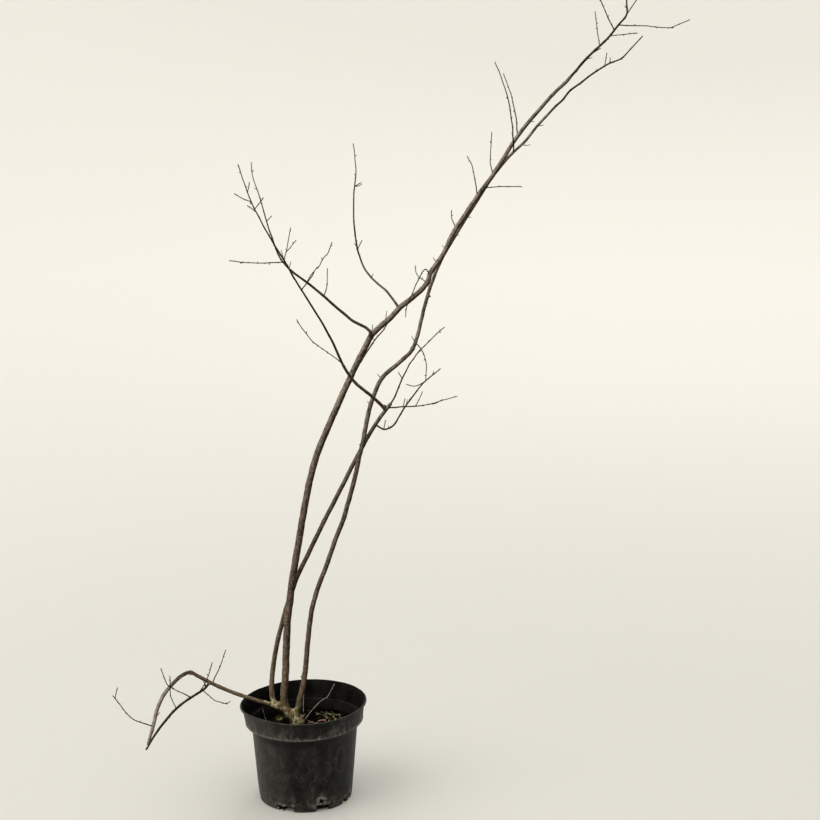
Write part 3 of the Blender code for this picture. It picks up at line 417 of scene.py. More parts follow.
# Short spurs seen in their places: the limb or twig (mass/shoot), the fraction along it, the reach
PLACED_SPURS = (
    ("stem_middle", 0.591, (0.3, -0.8, 2.0)), ("stem_middle", 0.697, (-0.7, -0.4, 0.9)),
    ("stem_middle", 0.72, (-0.6, 0.3, 0.3)), ("stem_middle", 0.92, (0.7, 0.4, -0.1)),
    ("stem_right", 0.78, (0.4, -0.2, -0.1)), ("stem_right", 0.81, (0.6, -0.4, -0.1)),
    ("stem_right", 0.68, (0.35, 0.1, 0.1)), ("stem_right", 0.50, (-0.6, -0.2, 0.4)),
    ("stem_right", 0.48, (0.1, 0.5, 0.2)), ("stem_right", 0.54, (-0.7, -0.4, 0.8)),
    ("stem_right", 0.613, (-0.6, -0.5, 1.0)), ("stem_right", 0.94, (1.3, -0.9, -0.1)),
    ("stem_right", 0.91, (0.6, 0.4, 0.5)), ("bough_left_back", 0.015, (0.1, 0.9, 1.3)),
    ("bough_upright", 0.66, (0.3, -0.4, 0.6)), ("low_stem_rise", 0.94, (-0.4, 0.2, 0.1)),
    ("low_stem_fall", 0.90, (0.7, 0.3, 0.7)), ("twigs_climbing/0", 0.6, (-0.45, 0.5, 0.3)),
    ("twigs_top/0", 0.20, (0.8, -0.5, 0.1)), ("twigs_right/0", 0.65, (0.0, -0.5, 0.8)),
    ("twigs_left_back/0", 0.02, (0.3, 0.7, 1.1)), ("twigs_left_front/0", 0.12, (-1.2, 2.2, 2.5)),
    ("twigs_upright/0", 0.08, (-0.4, 0.3, 0.4)), ("twigs_upright/2", 0.05, (1.2, -0.6, 0.3)),
    ("twigs_rising/0", 0.91, (0.2, 0.3, 0.5)), ("twigs_rising/0", 0.50, (0.1, 0.4, 0.8)),
    ("stem_right", 0.975, (0.9, 0.3, 0.0)), ("twigs_low_front/1", 0.93, (0.9, -0.3, 0.5)),
)


# Knots where a bough or twig leaves its limb: (limb that carries it, place, radii)
KNOTS = (
    ("bough_left_back", (12.6, 1.8, 85.15), (0.46, 0.42, 0.72)),
    ("bough_upright", (17.7, 2.6, 89.85), (0.3, 0.3, 0.42)),
    ("bough_left_front", (14.9, 0.8, 72.4), (0.42, 0.36, 0.42)),
    ("stem_middle", (9.8, 1.5, 79.7), (0.3, 0.3, 0.32)),
    ("stem_right", (19.95, 3.5, 82.5), (0.42, 0.4, 0.42)),
    ("stem_right", (10.9, 0.9, 65.5), (0.44, 0.42, 0.36)),
    ("stem_right", (22.98, 4.4, 91.8), (0.2, 0.2, 0.22)),
    ("stem_right", (0.02, -0.35, 22.5), (0.5, 0.47, 0.34)),
    ("stem_middle", (31.4, 5.85, 109.4), (0.42, 0.4, 0.38)),
    ("stem_middle", (22.6, 3.25, 94.4), (0.44, 0.42, 0.5)),
    ("stem_middle", (46.8, 9.8, 129.1), (0.33, 0.3, 0.33)),
    ("low_stem_rise", (-16.6, -4.35, 22.7), (0.42, 0.4, 0.38)),
    ("low_stem_rise", (-19.8, -5.45, 24.95), (0.36, 0.35, 0.34)),
)


# Paths

def unit(vector):
    return vector / np.linalg.norm(vector)


def smooth_path(points, step):
    """Points about one step apart on a smooth curve through the way points."""
    points = np.array(points, float)
    spans = np.linalg.norm(np.diff(points, axis=0), axis=1)
    slopes = np.diff(points, axis=0) / spans[:, None]
    tangents = [slopes[0]]
    for number in range(1, len(spans)):
        before, after = spans[number - 1], spans[number]
        tangents.append((slopes[number - 1] * after + slopes[number] * before) / (before + after))
    tangents.append(slopes[-1])
    path = [points[0]]
    for number, span in enumerate(spans):
        start, end = points[number], points[number + 1]
        count = max(1, round(span / step))
        for place in np.linspace(0.0, 1.0, count + 1)[1:]:
            square, cube = place ** 2, place ** 3
            path.append(start * (2 * cube - 3 * square + 1) + end * (3 * square - 2 * cube)
                        + tangents[number] * span * (cube - 2 * square + place)
                        + tangents[number + 1] * span * (cube - square))
    return np.array(path)


def lengths_along(path):
    """Length from the path's start to each of its points."""
    return np.concatenate([[0.0], np.cumsum(np.linalg.norm(np.diff(path, axis=0), axis=1))])


def point_at(path, length):
    """The point at a length along a path."""
    along = lengths_along(path)
    return np.array([np.interp(length, along, path[:, axis]) for axis in range(3)])


def radii_along(path, radii):
    """A radius for each point, from radii spread evenly along the length."""
    along = lengths_along(path)
    return np.interp(along / along[-1], np.linspace(0.0, 1.0, len(radii)), radii)


def nearest(path, point):
    """The length along a path at which it comes nearest to a point."""
    point = np.array(point, float)
    along = lengths_along(path)
    best = (float("inf"), 0.0)
    for number in range(len(path) - 1):
        start, step = path[number], path[number + 1] - path[number]
        share = np.clip(np.dot(point - start, step) / np.dot(step, step), 0.0, 1.0)
        distance = np.linalg.norm(start + share * step - point)
        best = min(best, (distance, along[number] + share * np.linalg.norm(step)))
    return best[1]


def frames_along(path):
    """Two directions square to the path at each point, carried along without twist."""
    steps = np.diff(path, axis=0)
    tangents = [steps[0]] + [unit(a) + unit(b) for a, b in zip(steps, steps[1:])] + [steps[-1]]
    side = np.array([0.0, -1.0, 0.0]) if abs(unit(steps[0])[1]) < 0.9 else np.array([1.0, 0.0, 0.0])
    frames = []
    for tangent in tangents:
        tangent = unit(tangent)
        side = unit(side - tangent * np.dot(side, tangent))
        frames.append((tangent, side, np.cross(tangent, side)))
    return frames


def part_of(path, radii, low, high):
    """The stretch of a path between two lengths, with its radii."""
    along = lengths_along(path)
    inner = (along > low + GAP) & (along < high - GAP)
    places = np.concatenate([[low], along[inner], [high]])
    stretch = np.array([point_at(path, place) for place in places])
    return stretch, np.interp(places, along, radii)


def rooted_path(limb, parent, step):
    """A path that starts on its parent's axis, or just past its parent's tip."""
    points = [np.array(point, float) for point in limb["points"]]
    if limb["tip"]:
        heading = unit(parent[-1] - parent[-2])
        points[:1] = [parent[-1] + GAP * heading, parent[-1] + (GAP + TIP_RUN) * heading]
    else:
        points[0] = point_at(parent, nearest(parent, points[0]))
    return smooth_path(points, step)


def shoot_path(parent, place, reach, sag):
    """A shoot from a place along its parent, bowed so that it turns up or down along its length."""
    start = point_at(parent, place * lengths_along(parent)[-1])
    reach = np.array(reach, float)
    middle = start + reach / 2 - np.array([0.0, 0.0, sag])
    return smooth_path([start, middle, start + reach], TWIG_STEP)


def spur_paths(path, random_source):
    """Short spurs round a twig, each a turn on from the last, at seeded places and lengths."""
    along = lengths_along(path)
    frames = frames_along(path)
    turn = random_source.uniform(0.0, 360.0)
    place = random_source.uniform(*SPUR_SPACING)
    spurs = []
    while place < along[-1] - SPUR_LENGTH[0]:
        _, side, other = frames[int(np.searchsorted(along, place)) - 1]
        heading = unit(point_at(path, place + GAP) - point_at(path, place - GAP))
        outward = math.cos(math.radians(turn)) * side + math.sin(math.radians(turn)) * other
        lean = math.radians(SPUR_LEAN)
        start = point_at(path, place)
        length = random_source.uniform(*SPUR_LENGTH)
        tip = start + length * (math.cos(lean) * heading + math.sin(lean) * outward)
        spurs.append(np.array([start, tip]))
        turn += SPUR_TURN
        place += random_source.uniform(*SPUR_SPACING)
    return spurs


def distance_between(path, other):
    """Shortest distance from a path's points to another path's pieces."""
    starts, along = other[:-1], np.diff(other, axis=0)
    shortest = float("inf")
    for point in path:
        share = np.clip(np.sum((point - starts) * along, axis=1) / np.sum(along ** 2, axis=1), 0.0, 1.0)
        distances = np.linalg.norm(starts + share[:, None] * along - point, axis=1)
        shortest = min(shortest, distances.min())
    return shortest


def grow_limbs():
    """The path and radii of every stem and bough, with the rings of its solid."""
    limbs = {}
    for name, stem in STEMS.items():
        path = smooth_path(stem["points"], STEM_STEP)
        limbs[name] = (path, radii_along(path, stem["radii"]))
    for name, bough in BOUGHS.items():
        path = rooted_path(bough, limbs[bough["on"]][0], BOUGH_STEP)
        limbs[name] = (path, radii_along(path, bough["radii"]))
    return limbs


def grow_masses(limbs):
    """Every mass as its leading twigs, the stem and then its shoots, and the spurs on them."""
    leading = {}
    for name, mass in MASSES.items():
        stem = rooted_path(mass, limbs[mass["on"]][0], TWIG_STEP)
        twigs = [(stem, radii_along(stem, mass["radii"]))]
        for parent, place, reach, sag, radius in mass["shoots"]:
            path = shoot_path(twigs[parent][0], place, reach, sag)
            twigs.append((path, radii_along(path, (radius, TWIG_TIP_RADIUS))))
        leading[name] = twigs
    grown = {name: list(twigs) for name, twigs in leading.items()}
    for name, mass in MASSES.items():
        random_source = random.Random(mass["seed"])
        points = np.concatenate([path for path, _ in leading[name]])
        low, high = points.min(axis=0) - SPUR_ROOM, points.max(axis=0) + SPUR_ROOM
        others = list(limbs.values()) + [twig for key in MASSES if key != name for twig in grown[key]]
        for path, _ in leading[name]:
            for spur in spur_paths(path, random_source):
                inside = np.all(spur[1] > low) and np.all(spur[1] < high)
                clear = all(distance_between(np.linspace(*spur, 5), other)
                            > other_radii.max() + SPUR_RADIUS[0] + GAP
                            for other, other_radii in others)
                if inside and clear:
                    grown[name].append((spur, np.array(SPUR_RADIUS)))
    return leading, {name: twigs[len(leading[name]):] for name, twigs in grown.items()}


# Mesh pieces

class Pile:
    """Vertices, faces and bark coordinates that are gathered for one piece."""

    def __init__(self):
        self.vertices, self.grain, self.faces, self.kinds, self.count = [], [], [], [], 0

    def add(self, vertices, faces, grain=None, kind=0):
        vertices = np.asarray(vertices, float)
        self.vertices.append(vertices)
        self.grain.append(np.asarray(grain, float) if grain is not None else vertices)
        self.faces.extend([[corner + self.count for corner in face] for face in faces])
        self.kinds.extend([kind] * len(faces))
        self.count += len(vertices)

    def piece(self, name, surface, slot, replaced=(), second=None):
        """One smooth mesh that rides on the plant, and stands for the nodes named."""
        mesh = bpy.data.meshes.new(name)
        mesh.from_pydata((np.concatenate(self.vertices) * CM).tolist(), [], self.faces)
        mesh.update()
        grain = mesh.attributes.new("grain", "FLOAT_VECTOR", "POINT")
        grain.data.foreach_set("vector", np.concatenate(self.grain).ravel())
        made = bpy.data.objects.new(name, mesh)
        bpy.context.scene.collection.objects.link(made)
        dress(made, surface, replaced)
        if second:
            mesh.materials.append(second)
            mesh.polygons.foreach_set("material_index", self.kinds)
        return made


def dress(made, surface, replaced=()):
    """Gives a piece its surface, the body it rides on and the nodes it stands for."""
    made.data.materials.clear()
    made.data.materials.append(surface)
    made.data.shade_smooth()
    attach(made, "root")
    if replaced:
        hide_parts(*replaced)
    return made


def bark_relief(angles, along, seed, depth):
    """Share by which bark stands out at each angle and length: ridges, knobs and small dots."""
    source = random.Random(seed)
    relief = np.zeros((len(along), len(angles)))
    for turns, per_cm, share in ((1, 0.35, 1.0), (2, 0.6, 0.8), (3, 0.9, 0.6), (4, 1.3, 0.5),
                                 (5, 0.5, 0.6), (6, 2.1, 0.4), (8, 1.1, 0.4), (10, 2.7, 0.25)):
        for direction in (1, -1):
            phase = source.uniform(0.0, 2 * math.pi)
            drift = source.uniform(0.7, 1.3) * per_cm
            wave = np.sin(turns * angles[None, :] + direction * drift * 2 * math.pi * along[:, None] / 2
                          + phase)
            relief += share * wave
    relief /= 3.5
    dots = np.zeros_like(relief)
    length = along[-1]
    for _ in range(int(length * 1.6)):
        place = source.uniform(0.0, length)
        angle = source.uniform(0.0, 2 * math.pi)
        width, height = source.uniform(0.16, 0.3), source.uniform(0.05, 0.1)
        rows = np.nonzero(np.abs(along - place) < 3 * height)[0]
        if not len(rows):
            continue
        turn = (angles - angle + math.pi) % (2 * math.pi) - math.pi
        bump = np.exp(-((along[rows, None] - place) / height) ** 2) * np.exp(-(turn[None, :] / width) ** 2)
        dots[rows] += bump
    return depth * (relief + 1.2 * np.minimum(dots, 1.0))


def node_places(length, spacing, source):
    """Where nodes sit along a limb, with the turn of each bud round it."""
    place, turn = source.uniform(*spacing) * 0.8, source.uniform(0.0, 360.0)
    places = []
    while place < length - 0.25:
        places.append((place, turn))
        place += source.uniform(*spacing)
        turn += BUD_TURN + source.uniform(-12.0, 12.0)
    return places


def fine_path(path, step, nodes, source):
    """A path through a solid's rings that strays a little, with a slight angle at each node."""
    fine = smooth_path(path, step)
    along = lengths_along(fine)
    places = [0.0] + [place for place, _ in nodes] + [along[-1]]
    strays = [[source.uniform(-1.0, 1.0) for _ in places] for _ in range(3)]
    stray = np.stack([np.interp(along, places, values) for values in strays], axis=1)
    fade = np.clip(along / 1.5, 0.0, 1.0) * np.clip((along[-1] - along) / 1.0, 0.0, 1.0)
    return fine + WANDER * fade[:, None] * stray


def bark_tube(path, radii, sides, seed, depth, collar=0.0, nodes=(), swell=NODE_SWELL):
    """A closed limb with rough bark, a collar where it starts, swollen nodes and a rounded tip."""
    along = lengths_along(path)
    angles = 2 * math.pi * np.arange(sides) / sides
    shape = 1.0 + bark_relief(angles, along, seed, depth)
    radii = radii * (1.0 + collar * np.exp(-(along / (2.2 * radii[0])) ** 2))
    for place, _ in nodes:
        radii = radii * (1.0 + swell * np.exp(-((along - place) / 0.13) ** 2))
    frames = frames_along(path)
    side = np.array([frame[1] for frame in frames])
    other = np.array([frame[2] for frame in frames])
    spread = radii[:, None] * shape
    rings = (path[:, None, :] + (spread * np.cos(angles))[..., None] * side[:, None, :]
             + (spread * np.sin(angles))[..., None] * other[:, None, :])
    grain = np.stack([np.outer(radii, np.cos(angles)), np.outer(radii, np.sin(angles)),
                      np.repeat(along[:, None], sides, axis=1)], axis=-1)
    rings, grain = list(rings), list(grain)
    heading = frames[-1][0]
    last, last_grain = rings[-1], grain[-1]
    for turn in (0.5, 0.85):
        shrink = math.sqrt(1.0 - turn ** 2)
        rings.append(path[-1] + (last - path[-1]) * shrink + heading * radii[-1] * turn)
        grain.append(last_grain * (shrink, shrink, 1.0) + (0.0, 0.0, radii[-1] * turn))
    count = len(rings)
    ends = [path[0], path[-1] + heading * radii[-1]]
    end_grain = [(0.0, 0.0, 0.0), (0.0, 0.0, along[-1] + radii[-1])]
    vertices = np.concatenate([np.concatenate(rings), ends])
    grain = np.concatenate([np.concatenate(grain), end_grain])
    faces = []
    for ring in range(count - 1):
        for number in range(sides):
            low, high = ring * sides + number, ring * sides + (number + 1) % sides
            faces.append((low, high, high + sides, low + sides))
    base, top = count * sides, count * sides + 1
    last = (count - 1) * sides
    for number in range(sides):
        after = (number + 1) % sides
        faces.append((base, after, number))
        faces.append((top, last + number, last + after))
    return vertices, faces, grain


def ovoid(start, heading, length, radius, sides=7):
    """A small pointed bud from its base, along a heading."""
    rings = ((0.0, 0.45), (0.2, 0.85), (0.45, 1.0), (0.7, 0.75), (0.9, 0.38))
    helper = np.array([0.0, 0.0, 1.0]) if abs(heading[2]) < 0.9 else np.array([1.0, 0.0, 0.0])
    side = unit(np.cross(heading, helper))
    other = np.cross(heading, side)
    vertices = []
    for reach, share in rings:
        for number in range(sides):
            angle = 2 * math.pi * number / sides
            offset = radius * share * (math.cos(angle) * side + math.sin(angle) * other)
            vertices.append(start + heading * length * reach + offset)
    vertices += [start, start + heading * length]
    faces = []
    for ring in range(len(rings) - 1):
        for number in range(sides):
            low, high = ring * sides + number, ring * sides + (number + 1) % sides
            faces.append((low, high, high + sides, low + sides))
    base, top = len(rings) * sides, len(rings) * sides + 1
    last = (len(rings) - 1) * sides
    for number in range(sides):
        after = (number + 1) % sides
        faces.append((base, after, number))
        faces.append((top, last + number, last + after))
    return vertices, faces


def add_buds(pile, path, radii, places, source, end_bud=True):
    """Buds on a twig, each leaning along it, and one at its tip."""
    along = lengths_along(path)
    frames = frames_along(path)
    for place, turn in places:
        number = min(int(np.searchsorted(along, place)), len(path) - 1)
        heading, side, other = frames[number]
        outward = math.cos(math.radians(turn)) * side + math.sin(math.radians(turn)) * other
        radius = float(np.interp(place, along, radii))
        start = point_at(path, place) + outward * radius * 0.75
        lean = unit(0.75 * heading + 0.7 * outward)
        length = source.uniform(*BUD_LENGTH)
        pile.add(*ovoid(start, lean, length, BUD_RADIUS * source.uniform(0.8, 1.1)))
    if end_bud:
        pile.add(*ovoid(path[-1] - frames[-1][0] * 0.05, frames[-1][0], BUD_LENGTH[1] * 1.25,
                        max(BUD_RADIUS, radii[-1]) * 1.25))


# Surfaces

class Surface:
    """A Principled material with short calls for its procedural nodes."""

    def __init__(self, name, roughness, specular=0.4):
        self.material = bpy.data.materials.new(name)
        self.material.use_nodes = True
        self.tree = self.material.node_tree
        self.shader = self.tree.nodes["Principled BSDF"]
        self.shader.inputs["Roughness"].default_value = roughness
        self.shader.inputs["Specular IOR Level"].default_value = specular

    def node(self, kind, **settings):
        made = self.tree.nodes.new(kind)
        for key, value in settings.items():
            setattr(made, key, value)
        return made

    def link(self, source, target):
        self.tree.links.new(source, target)

    def grain(self, stretch):
        """Bark coordinates in centimetres, round the limb and along it."""
        source = self.node("ShaderNodeAttribute", attribute_name="grain")
        return self.stretched(source.outputs["Vector"], stretch)

    def place(self, stretch):
        """Coordinates of the object itself, in metres."""
        source = self.node("ShaderNodeTexCoord")
        return self.stretched(source.outputs["Object"], stretch)

    def stretched(self, vector, stretch):
        mapping = self.node("ShaderNodeMapping")
        mapping.inputs["Scale"].default_value = stretch
        self.link(vector, mapping.inputs["Vector"])
        return mapping.outputs["Vector"]

    def noise(self, vector, scale, detail=3.0, roughness=0.55, distortion=0.0):
        made = self.node("ShaderNodeTexNoise")
        made.inputs["Scale"].default_value = scale
        made.inputs["Detail"].default_value = detail
        made.inputs["Roughness"].default_value = roughness
        made.inputs["Distortion"].default_value = distortion
        self.link(vector, made.inputs["Vector"])
        return made.outputs["Fac"]

    def cells(self, vector, scale):
        """Distance to the nearest of scattered points, and a number for that point."""
        made = self.node("ShaderNodeTexVoronoi", feature="F1")
        made.inputs["Scale"].default_value = scale
        self.link(vector, made.inputs["Vector"])
        split = self.node("ShaderNodeSeparateColor")
        self.link(made.outputs["Color"], split.inputs["Color"])
        return made.outputs["Distance"], split.outputs["Red"]

    def span(self, value, low, high, to_low=0.0, to_high=1.0):
        """A value spread from one range to another, and held within it."""
        made = self.node("ShaderNodeMapRange")
        made.inputs["From Min"].default_value = low
        made.inputs["From Max"].default_value = high
        made.inputs["To Min"].default_value = to_low
        made.inputs["To Max"].default_value = to_high
        self.link(value, made.inputs["Value"])
        return made.outputs["Result"]

    def math(self, operation, first, second):
        made = self.node("ShaderNodeMath", operation=operation)
        for number, value in enumerate((first, second)):
            if isinstance(value, (int, float)):
                made.inputs[number].default_value = value
            else:
                self.link(value, made.inputs[number])
        return made.outputs["Value"]

    def mix(self, factor, first, second, kind="MIX"):
        """One colour mixed over another; each is a plain colour or a node's output."""
        made = self.node("ShaderNodeMix", data_type="RGBA", blend_type=kind)
        if isinstance(factor, (int, float)):
            made.inputs["Factor"].default_value = factor
        else:
            self.link(factor, made.inputs["Factor"])
        for socket, value in ((made.inputs[6], first), (made.inputs[7], second)):
            if isinstance(value, tuple):
                socket.default_value = (*value, 1.0)
            else:
                self.link(value, socket)
        return made.outputs[2]

    def facing(self, direction):
        """How far the surface faces a direction: 1 towards it and -1 away from it."""
        source = self.node("ShaderNodeNewGeometry")
        made = self.node("ShaderNodeVectorMath", operation="DOT_PRODUCT")
        self.link(source.outputs["Normal"], made.inputs[0])
        made.inputs[1].default_value = direction
        return made.outputs["Value"]

    def split(self, vector, axis):
        """One of the three numbers of a vector."""
        made = self.node("ShaderNodeSeparateXYZ")
        self.link(vector, made.inputs["Vector"])
        return made.outputs[axis]

    def height(self):
        """Height over the floor, in metres."""
        return self.split(self.place((1.0, 1.0, 1.0)), "Z")

    def finish(self, colour, roughness=None, bumps=()):
        """Links the colour, the roughness and bumps given as (height, strength, distance)."""
        self.link(colour, self.shader.inputs["Base Color"])
        if roughness is not None:
            self.link(roughness, self.shader.inputs["Roughness"])
        normal = None
        for height, strength, distance in bumps:
            made = self.node("ShaderNodeBump")
            made.inputs["Strength"].default_value = strength
            made.inputs["Distance"].default_value = distance
            self.link(height, made.inputs["Height"])
            if normal is not None:
                self.link(normal, made.inputs["Normal"])
            normal = made.outputs["Normal"]
        if normal is not None:
            self.link(normal, self.shader.inputs["Normal"])
        return self.material


def bark_surface(name, dark, brown, grey, dots, tan_top, high=0.0, fresh=1.0):
    """Bark: streaked, flecked and tan near the soil, with painted light that makes it pale on the side facing
    the light and painted shade that makes it near black on the side away from it.

    From the height "high" it is paler and smoother; below that it is browner and more flecked.
    From the height "fresh" it isn't bleached.
    """
    made = Surface(name, 0.78, 0.1)
    patches = made.noise(made.place((60.0, 60.0, 34.0)), 1.0, 5.0, 0.6)
    streaks = made.noise(made.grain((3.0, 3.0, 1.0)), 1.0, 4.0, 0.6)
    mottles = made.noise(made.grain((2.2, 2.2, 1.5)), 1.0, 4.0, 0.65)
    fine = made.noise(made.grain((11.0, 11.0, 7.0)), 1.0, 4.0, 0.65)
    tints = made.noise(made.place((26.0, 26.0, 30.0)), 1.0, 2.0)
    height = made.height()
    upper = made.span(height, high - 0.4, high)
    reddish = (1.3 * brown[0], 0.9 * brown[1], 0.9 * brown[2])
    olive = (0.72 * grey[0], 0.7 * grey[1], 0.52 * grey[2])
    warm_grey = (0.83 * grey[0], 0.77 * grey[1], 0.8 * grey[2])
    colour = made.mix(made.span(streaks, 0.42, 0.56), dark, brown)
    colour = made.mix(made.span(tints, 0.5, 0.6, 0.0, 0.7), colour, reddish)
    facing = made.facing(LIT_SIDE)
    # Painted light: the side facing the light is mixed to pale grey, broken by patches and mottles
    lit_side = made.math("MULTIPLY", made.span(facing, 0.05, 0.75), made.span(patches, 0.36, 0.54, 0.3, 1.0))
    lit_side = made.math("MULTIPLY", lit_side, made.span(mottles, 0.43, 0.54, 0.35, 1.0))
    lit_side = made.math("MULTIPLY", lit_side, made.math("MAXIMUM", upper, 0.45))
    greyed = made.mix(upper, warm_grey, grey)
    greyed = made.mix(made.span(tints, 0.36, 0.46, 0.3, 0.0), greyed, olive)
    colour = made.mix(lit_side, colour, greyed)
    tan = made.span(height, tan_top - 0.06, tan_top + 0.01, 0.9, 0.0)
    tan = made.math("MULTIPLY", tan, made.span(streaks, 0.42, 0.54, 0.3, 1.0))
    colour = made.mix(tan, colour, (0.25, 0.18, 0.105))
    flecks = made.span(made.noise(made.grain((3.6, 3.6, 2.8)), 1.0, 3.0, 0.6), 0.53, 0.61)
    # The flecks are real marks, but they show mostly on the side facing the light, which is painted light
    flecks = made.math("MULTIPLY", flecks, made.span(facing, -0.3, 0.45, 0.05, 0.75))
    flecks = made.math("MULTIPLY", flecks, made.span(upper, 0.0, 1.0, 1.0, 0.6))
    flecks = made.math("MULTIPLY", flecks, made.span(height, tan_top - 0.12, tan_top + 0.04, 0.4, 1.0))
    colour = made.mix(flecks, colour, dots)
    distance, number = made.cells(made.grain((1.0, 1.0, 0.62)), 3.4)
    round_dots = made.math("MULTIPLY", made.span(distance, 0.14, 0.24, 1.0, 0.0),
                           made.span(number, 0.6, 0.64))
    colour = made.mix(made.math("MULTIPLY", round_dots, 0.6), colour, dots)
    colour = made.mix(made.span(fine, 0.38, 0.56, 0.6, 0.0), colour, dark)
    # Painted shade: the side away from the light is darkened to near black
    lee_shade = made.span(facing, -0.35, 0.32, 0.93, 0.0)
    colour = made.mix(lee_shade, colour, tuple(0.7 * c for c in dark))
    unbleached = made.mix(made.span(streaks, 0.4, 0.58), (0.025, 0.016, 0.01), (0.12, 0.095, 0.07))
    colour = made.mix(made.span(height, fresh - 0.012, fresh + 0.004), colour, unbleached)
    roughness = made.span(fine, 0.3, 0.7, 0.68, 0.9)
    return made.finish(colour, roughness, ((streaks, 0.5, 0.0006), (round_dots, 0.5, 0.0004),
                                           (fine, 0.5, 0.0004)))


def crown_surface():
    """Fibrous bark of the root crown: painted pale straw where the stems part and face the light, olive and tan
    low down, brown above, with painted shade in its recesses, on its undersides, on the side away from the light
    and on the right of one stem's foot.
    """
    made = Surface("fibrous_crown_bark", 0.85, 0.1)
    fibres = made.noise(made.place((340.0, 340.0, 80.0)), 1.0, 4.0, 0.6, 0.3)
    patches = made.noise(made.place((95.0, 95.0, 60.0)), 1.0, 4.0, 0.6)
    hollow_shade = made.node("ShaderNodeAttribute", attribute_name="hollow_shade").outputs["Fac"]
    height = made.height()
    across = made.split(made.place((1.0, 1.0, 1.0)), "X")
    colour = made.mix(made.span(fibres, 0.38, 0.6), (0.11, 0.076, 0.034), (0.5, 0.38, 0.21))
    olive = made.math("MULTIPLY", made.span(height, 0.148, 0.158), made.span(patches, 0.4, 0.58, 0.3, 0.85))
    olive = made.math("MULTIPLY", olive, made.span(across, -0.044, -0.036, 0.25, 1.0))
    colour = made.mix(olive, colour, (0.2, 0.155, 0.045))
    # Painted light: surfaces facing up and to the left turn pale straw
    facing = made.facing((-0.5, -0.5, 0.7))
    pale = made.math("MULTIPLY", made.span(facing, 0.05, 0.8), made.span(patches, 0.6, 0.42, 0.15, 0.95))
    pale = made.math("MULTIPLY", pale, made.span(fibres, 0.4, 0.56, 0.35, 1.0))
    pale = made.math("MULTIPLY", pale, made.span(height, 0.138, 0.15, 0.3, 1.0))
    colour = made.mix(pale, colour, (0.86, 0.77, 0.52))
    brown = made.math("MULTIPLY", made.span(across, -0.034, -0.029),
                      made.span(across, -0.024, -0.018, 0.85, 0.0))
    brown = made.math("MULTIPLY", brown, made.span(patches, 0.36, 0.5, 0.55, 1.0))
    colour = made.mix(brown, colour, (0.13, 0.09, 0.03))
    level = made.math("SUBTRACT", height, made.span(across, -0.062, -0.04, 0.018, 0.0))
    up = made.math("MULTIPLY", made.span(level, 0.162, 0.174), made.span(patches, 0.4, 0.6, 0.97, 0.7))
    colour = made.mix(up, colour, (0.12, 0.082, 0.045))
    foot = made.math("MULTIPLY", made.span(height, 0.136, 0.152, 0.85, 0.0),
                     made.span(patches, 0.4, 0.56, 0.5, 1.0))
    foot = made.math("MULTIPLY", foot, made.span(across, -0.018, -0.004, 0.5, 1.0))
    colour = made.mix(foot, colour, (0.05, 0.04, 0.016))
    # Painted shade: the right half of the right-hand stem's foot, the side away from the light, is darker
    right = made.math("MULTIPLY", made.span(across, -0.0125, -0.0085, 0.0, 0.8),
                      made.span(height, 0.143, 0.15))
    right = made.math("MULTIPLY", right, made.span(height, 0.166, 0.174, 1.0, 0.0))
    colour = made.mix(right, colour, (0.05, 0.036, 0.01))
    # Painted shade: darker in the recesses of the bark
    colour = made.mix(made.math("MULTIPLY", hollow_shade, 0.8), colour, (0.02, 0.014, 0.006))
    # Painted shade on the undersides
    under = made.span(made.facing((-0.62, -0.3, -0.72)), 0.45, 0.85, 0.0, 0.88)
    colour = made.mix(under, colour, (0.03, 0.022, 0.009))
    # Painted shade on the side away from the light
    colour = made.mix(made.span(facing, -0.6, 0.1, 0.85, 0.0), colour, (0.022, 0.015, 0.008))
    return made.finish(colour, made.span(patches, 0.3, 0.7, 0.75, 0.95),
                       ((fibres, 0.9, 0.001), (patches, 0.5, 0.001)))


def soil_surface():
    """Moist, almost black potting soil with browner grains."""
    made = Surface("potting_soil", 1.0, 0.0)
    grains = made.noise(made.place((420.0, 420.0, 420.0)), 1.0, 4.0, 0.7)
    patches = made.noise(made.place((60.0, 60.0, 60.0)), 1.0, 3.0)
    colour = made.mix(made.span(grains, 0.42, 0.66), (0.001, 0.0008, 0.0006), (0.007, 0.0046, 0.0028))
    colour = made.mix(made.span(patches, 0.5, 0.7, 0.0, 0.5), colour, (0.007, 0.0045, 0.003))
    return made.finish(colour, None, ((grains, 0.9, 0.0015),))


def crumb_surface():
    """Soil crumbs and bits of bark: most near black, some brown, and a few pale."""
    made = Surface("soil_crumbs", 1.0, 0.01)
    grains = made.noise(made.place((500.0, 500.0, 500.0)), 1.0, 3.0, 0.7)
    kinds = made.noise(made.place((210.0, 210.0, 210.0)), 1.0, 1.0)
    colour = made.mix(made.span(kinds, 0.5, 0.64), (0.0018, 0.0013, 0.0009), (0.034, 0.02, 0.011))
    colour = made.mix(made.span(kinds, 0.65, 0.7, 0.0, 0.85), colour, (0.3, 0.25, 0.17))
    colour = made.mix(made.span(grains, 0.54, 0.72, 0.0, 0.4), colour, (0.045, 0.03, 0.018))
    return made.finish(colour, None, ((grains, 0.7, 0.0008),))


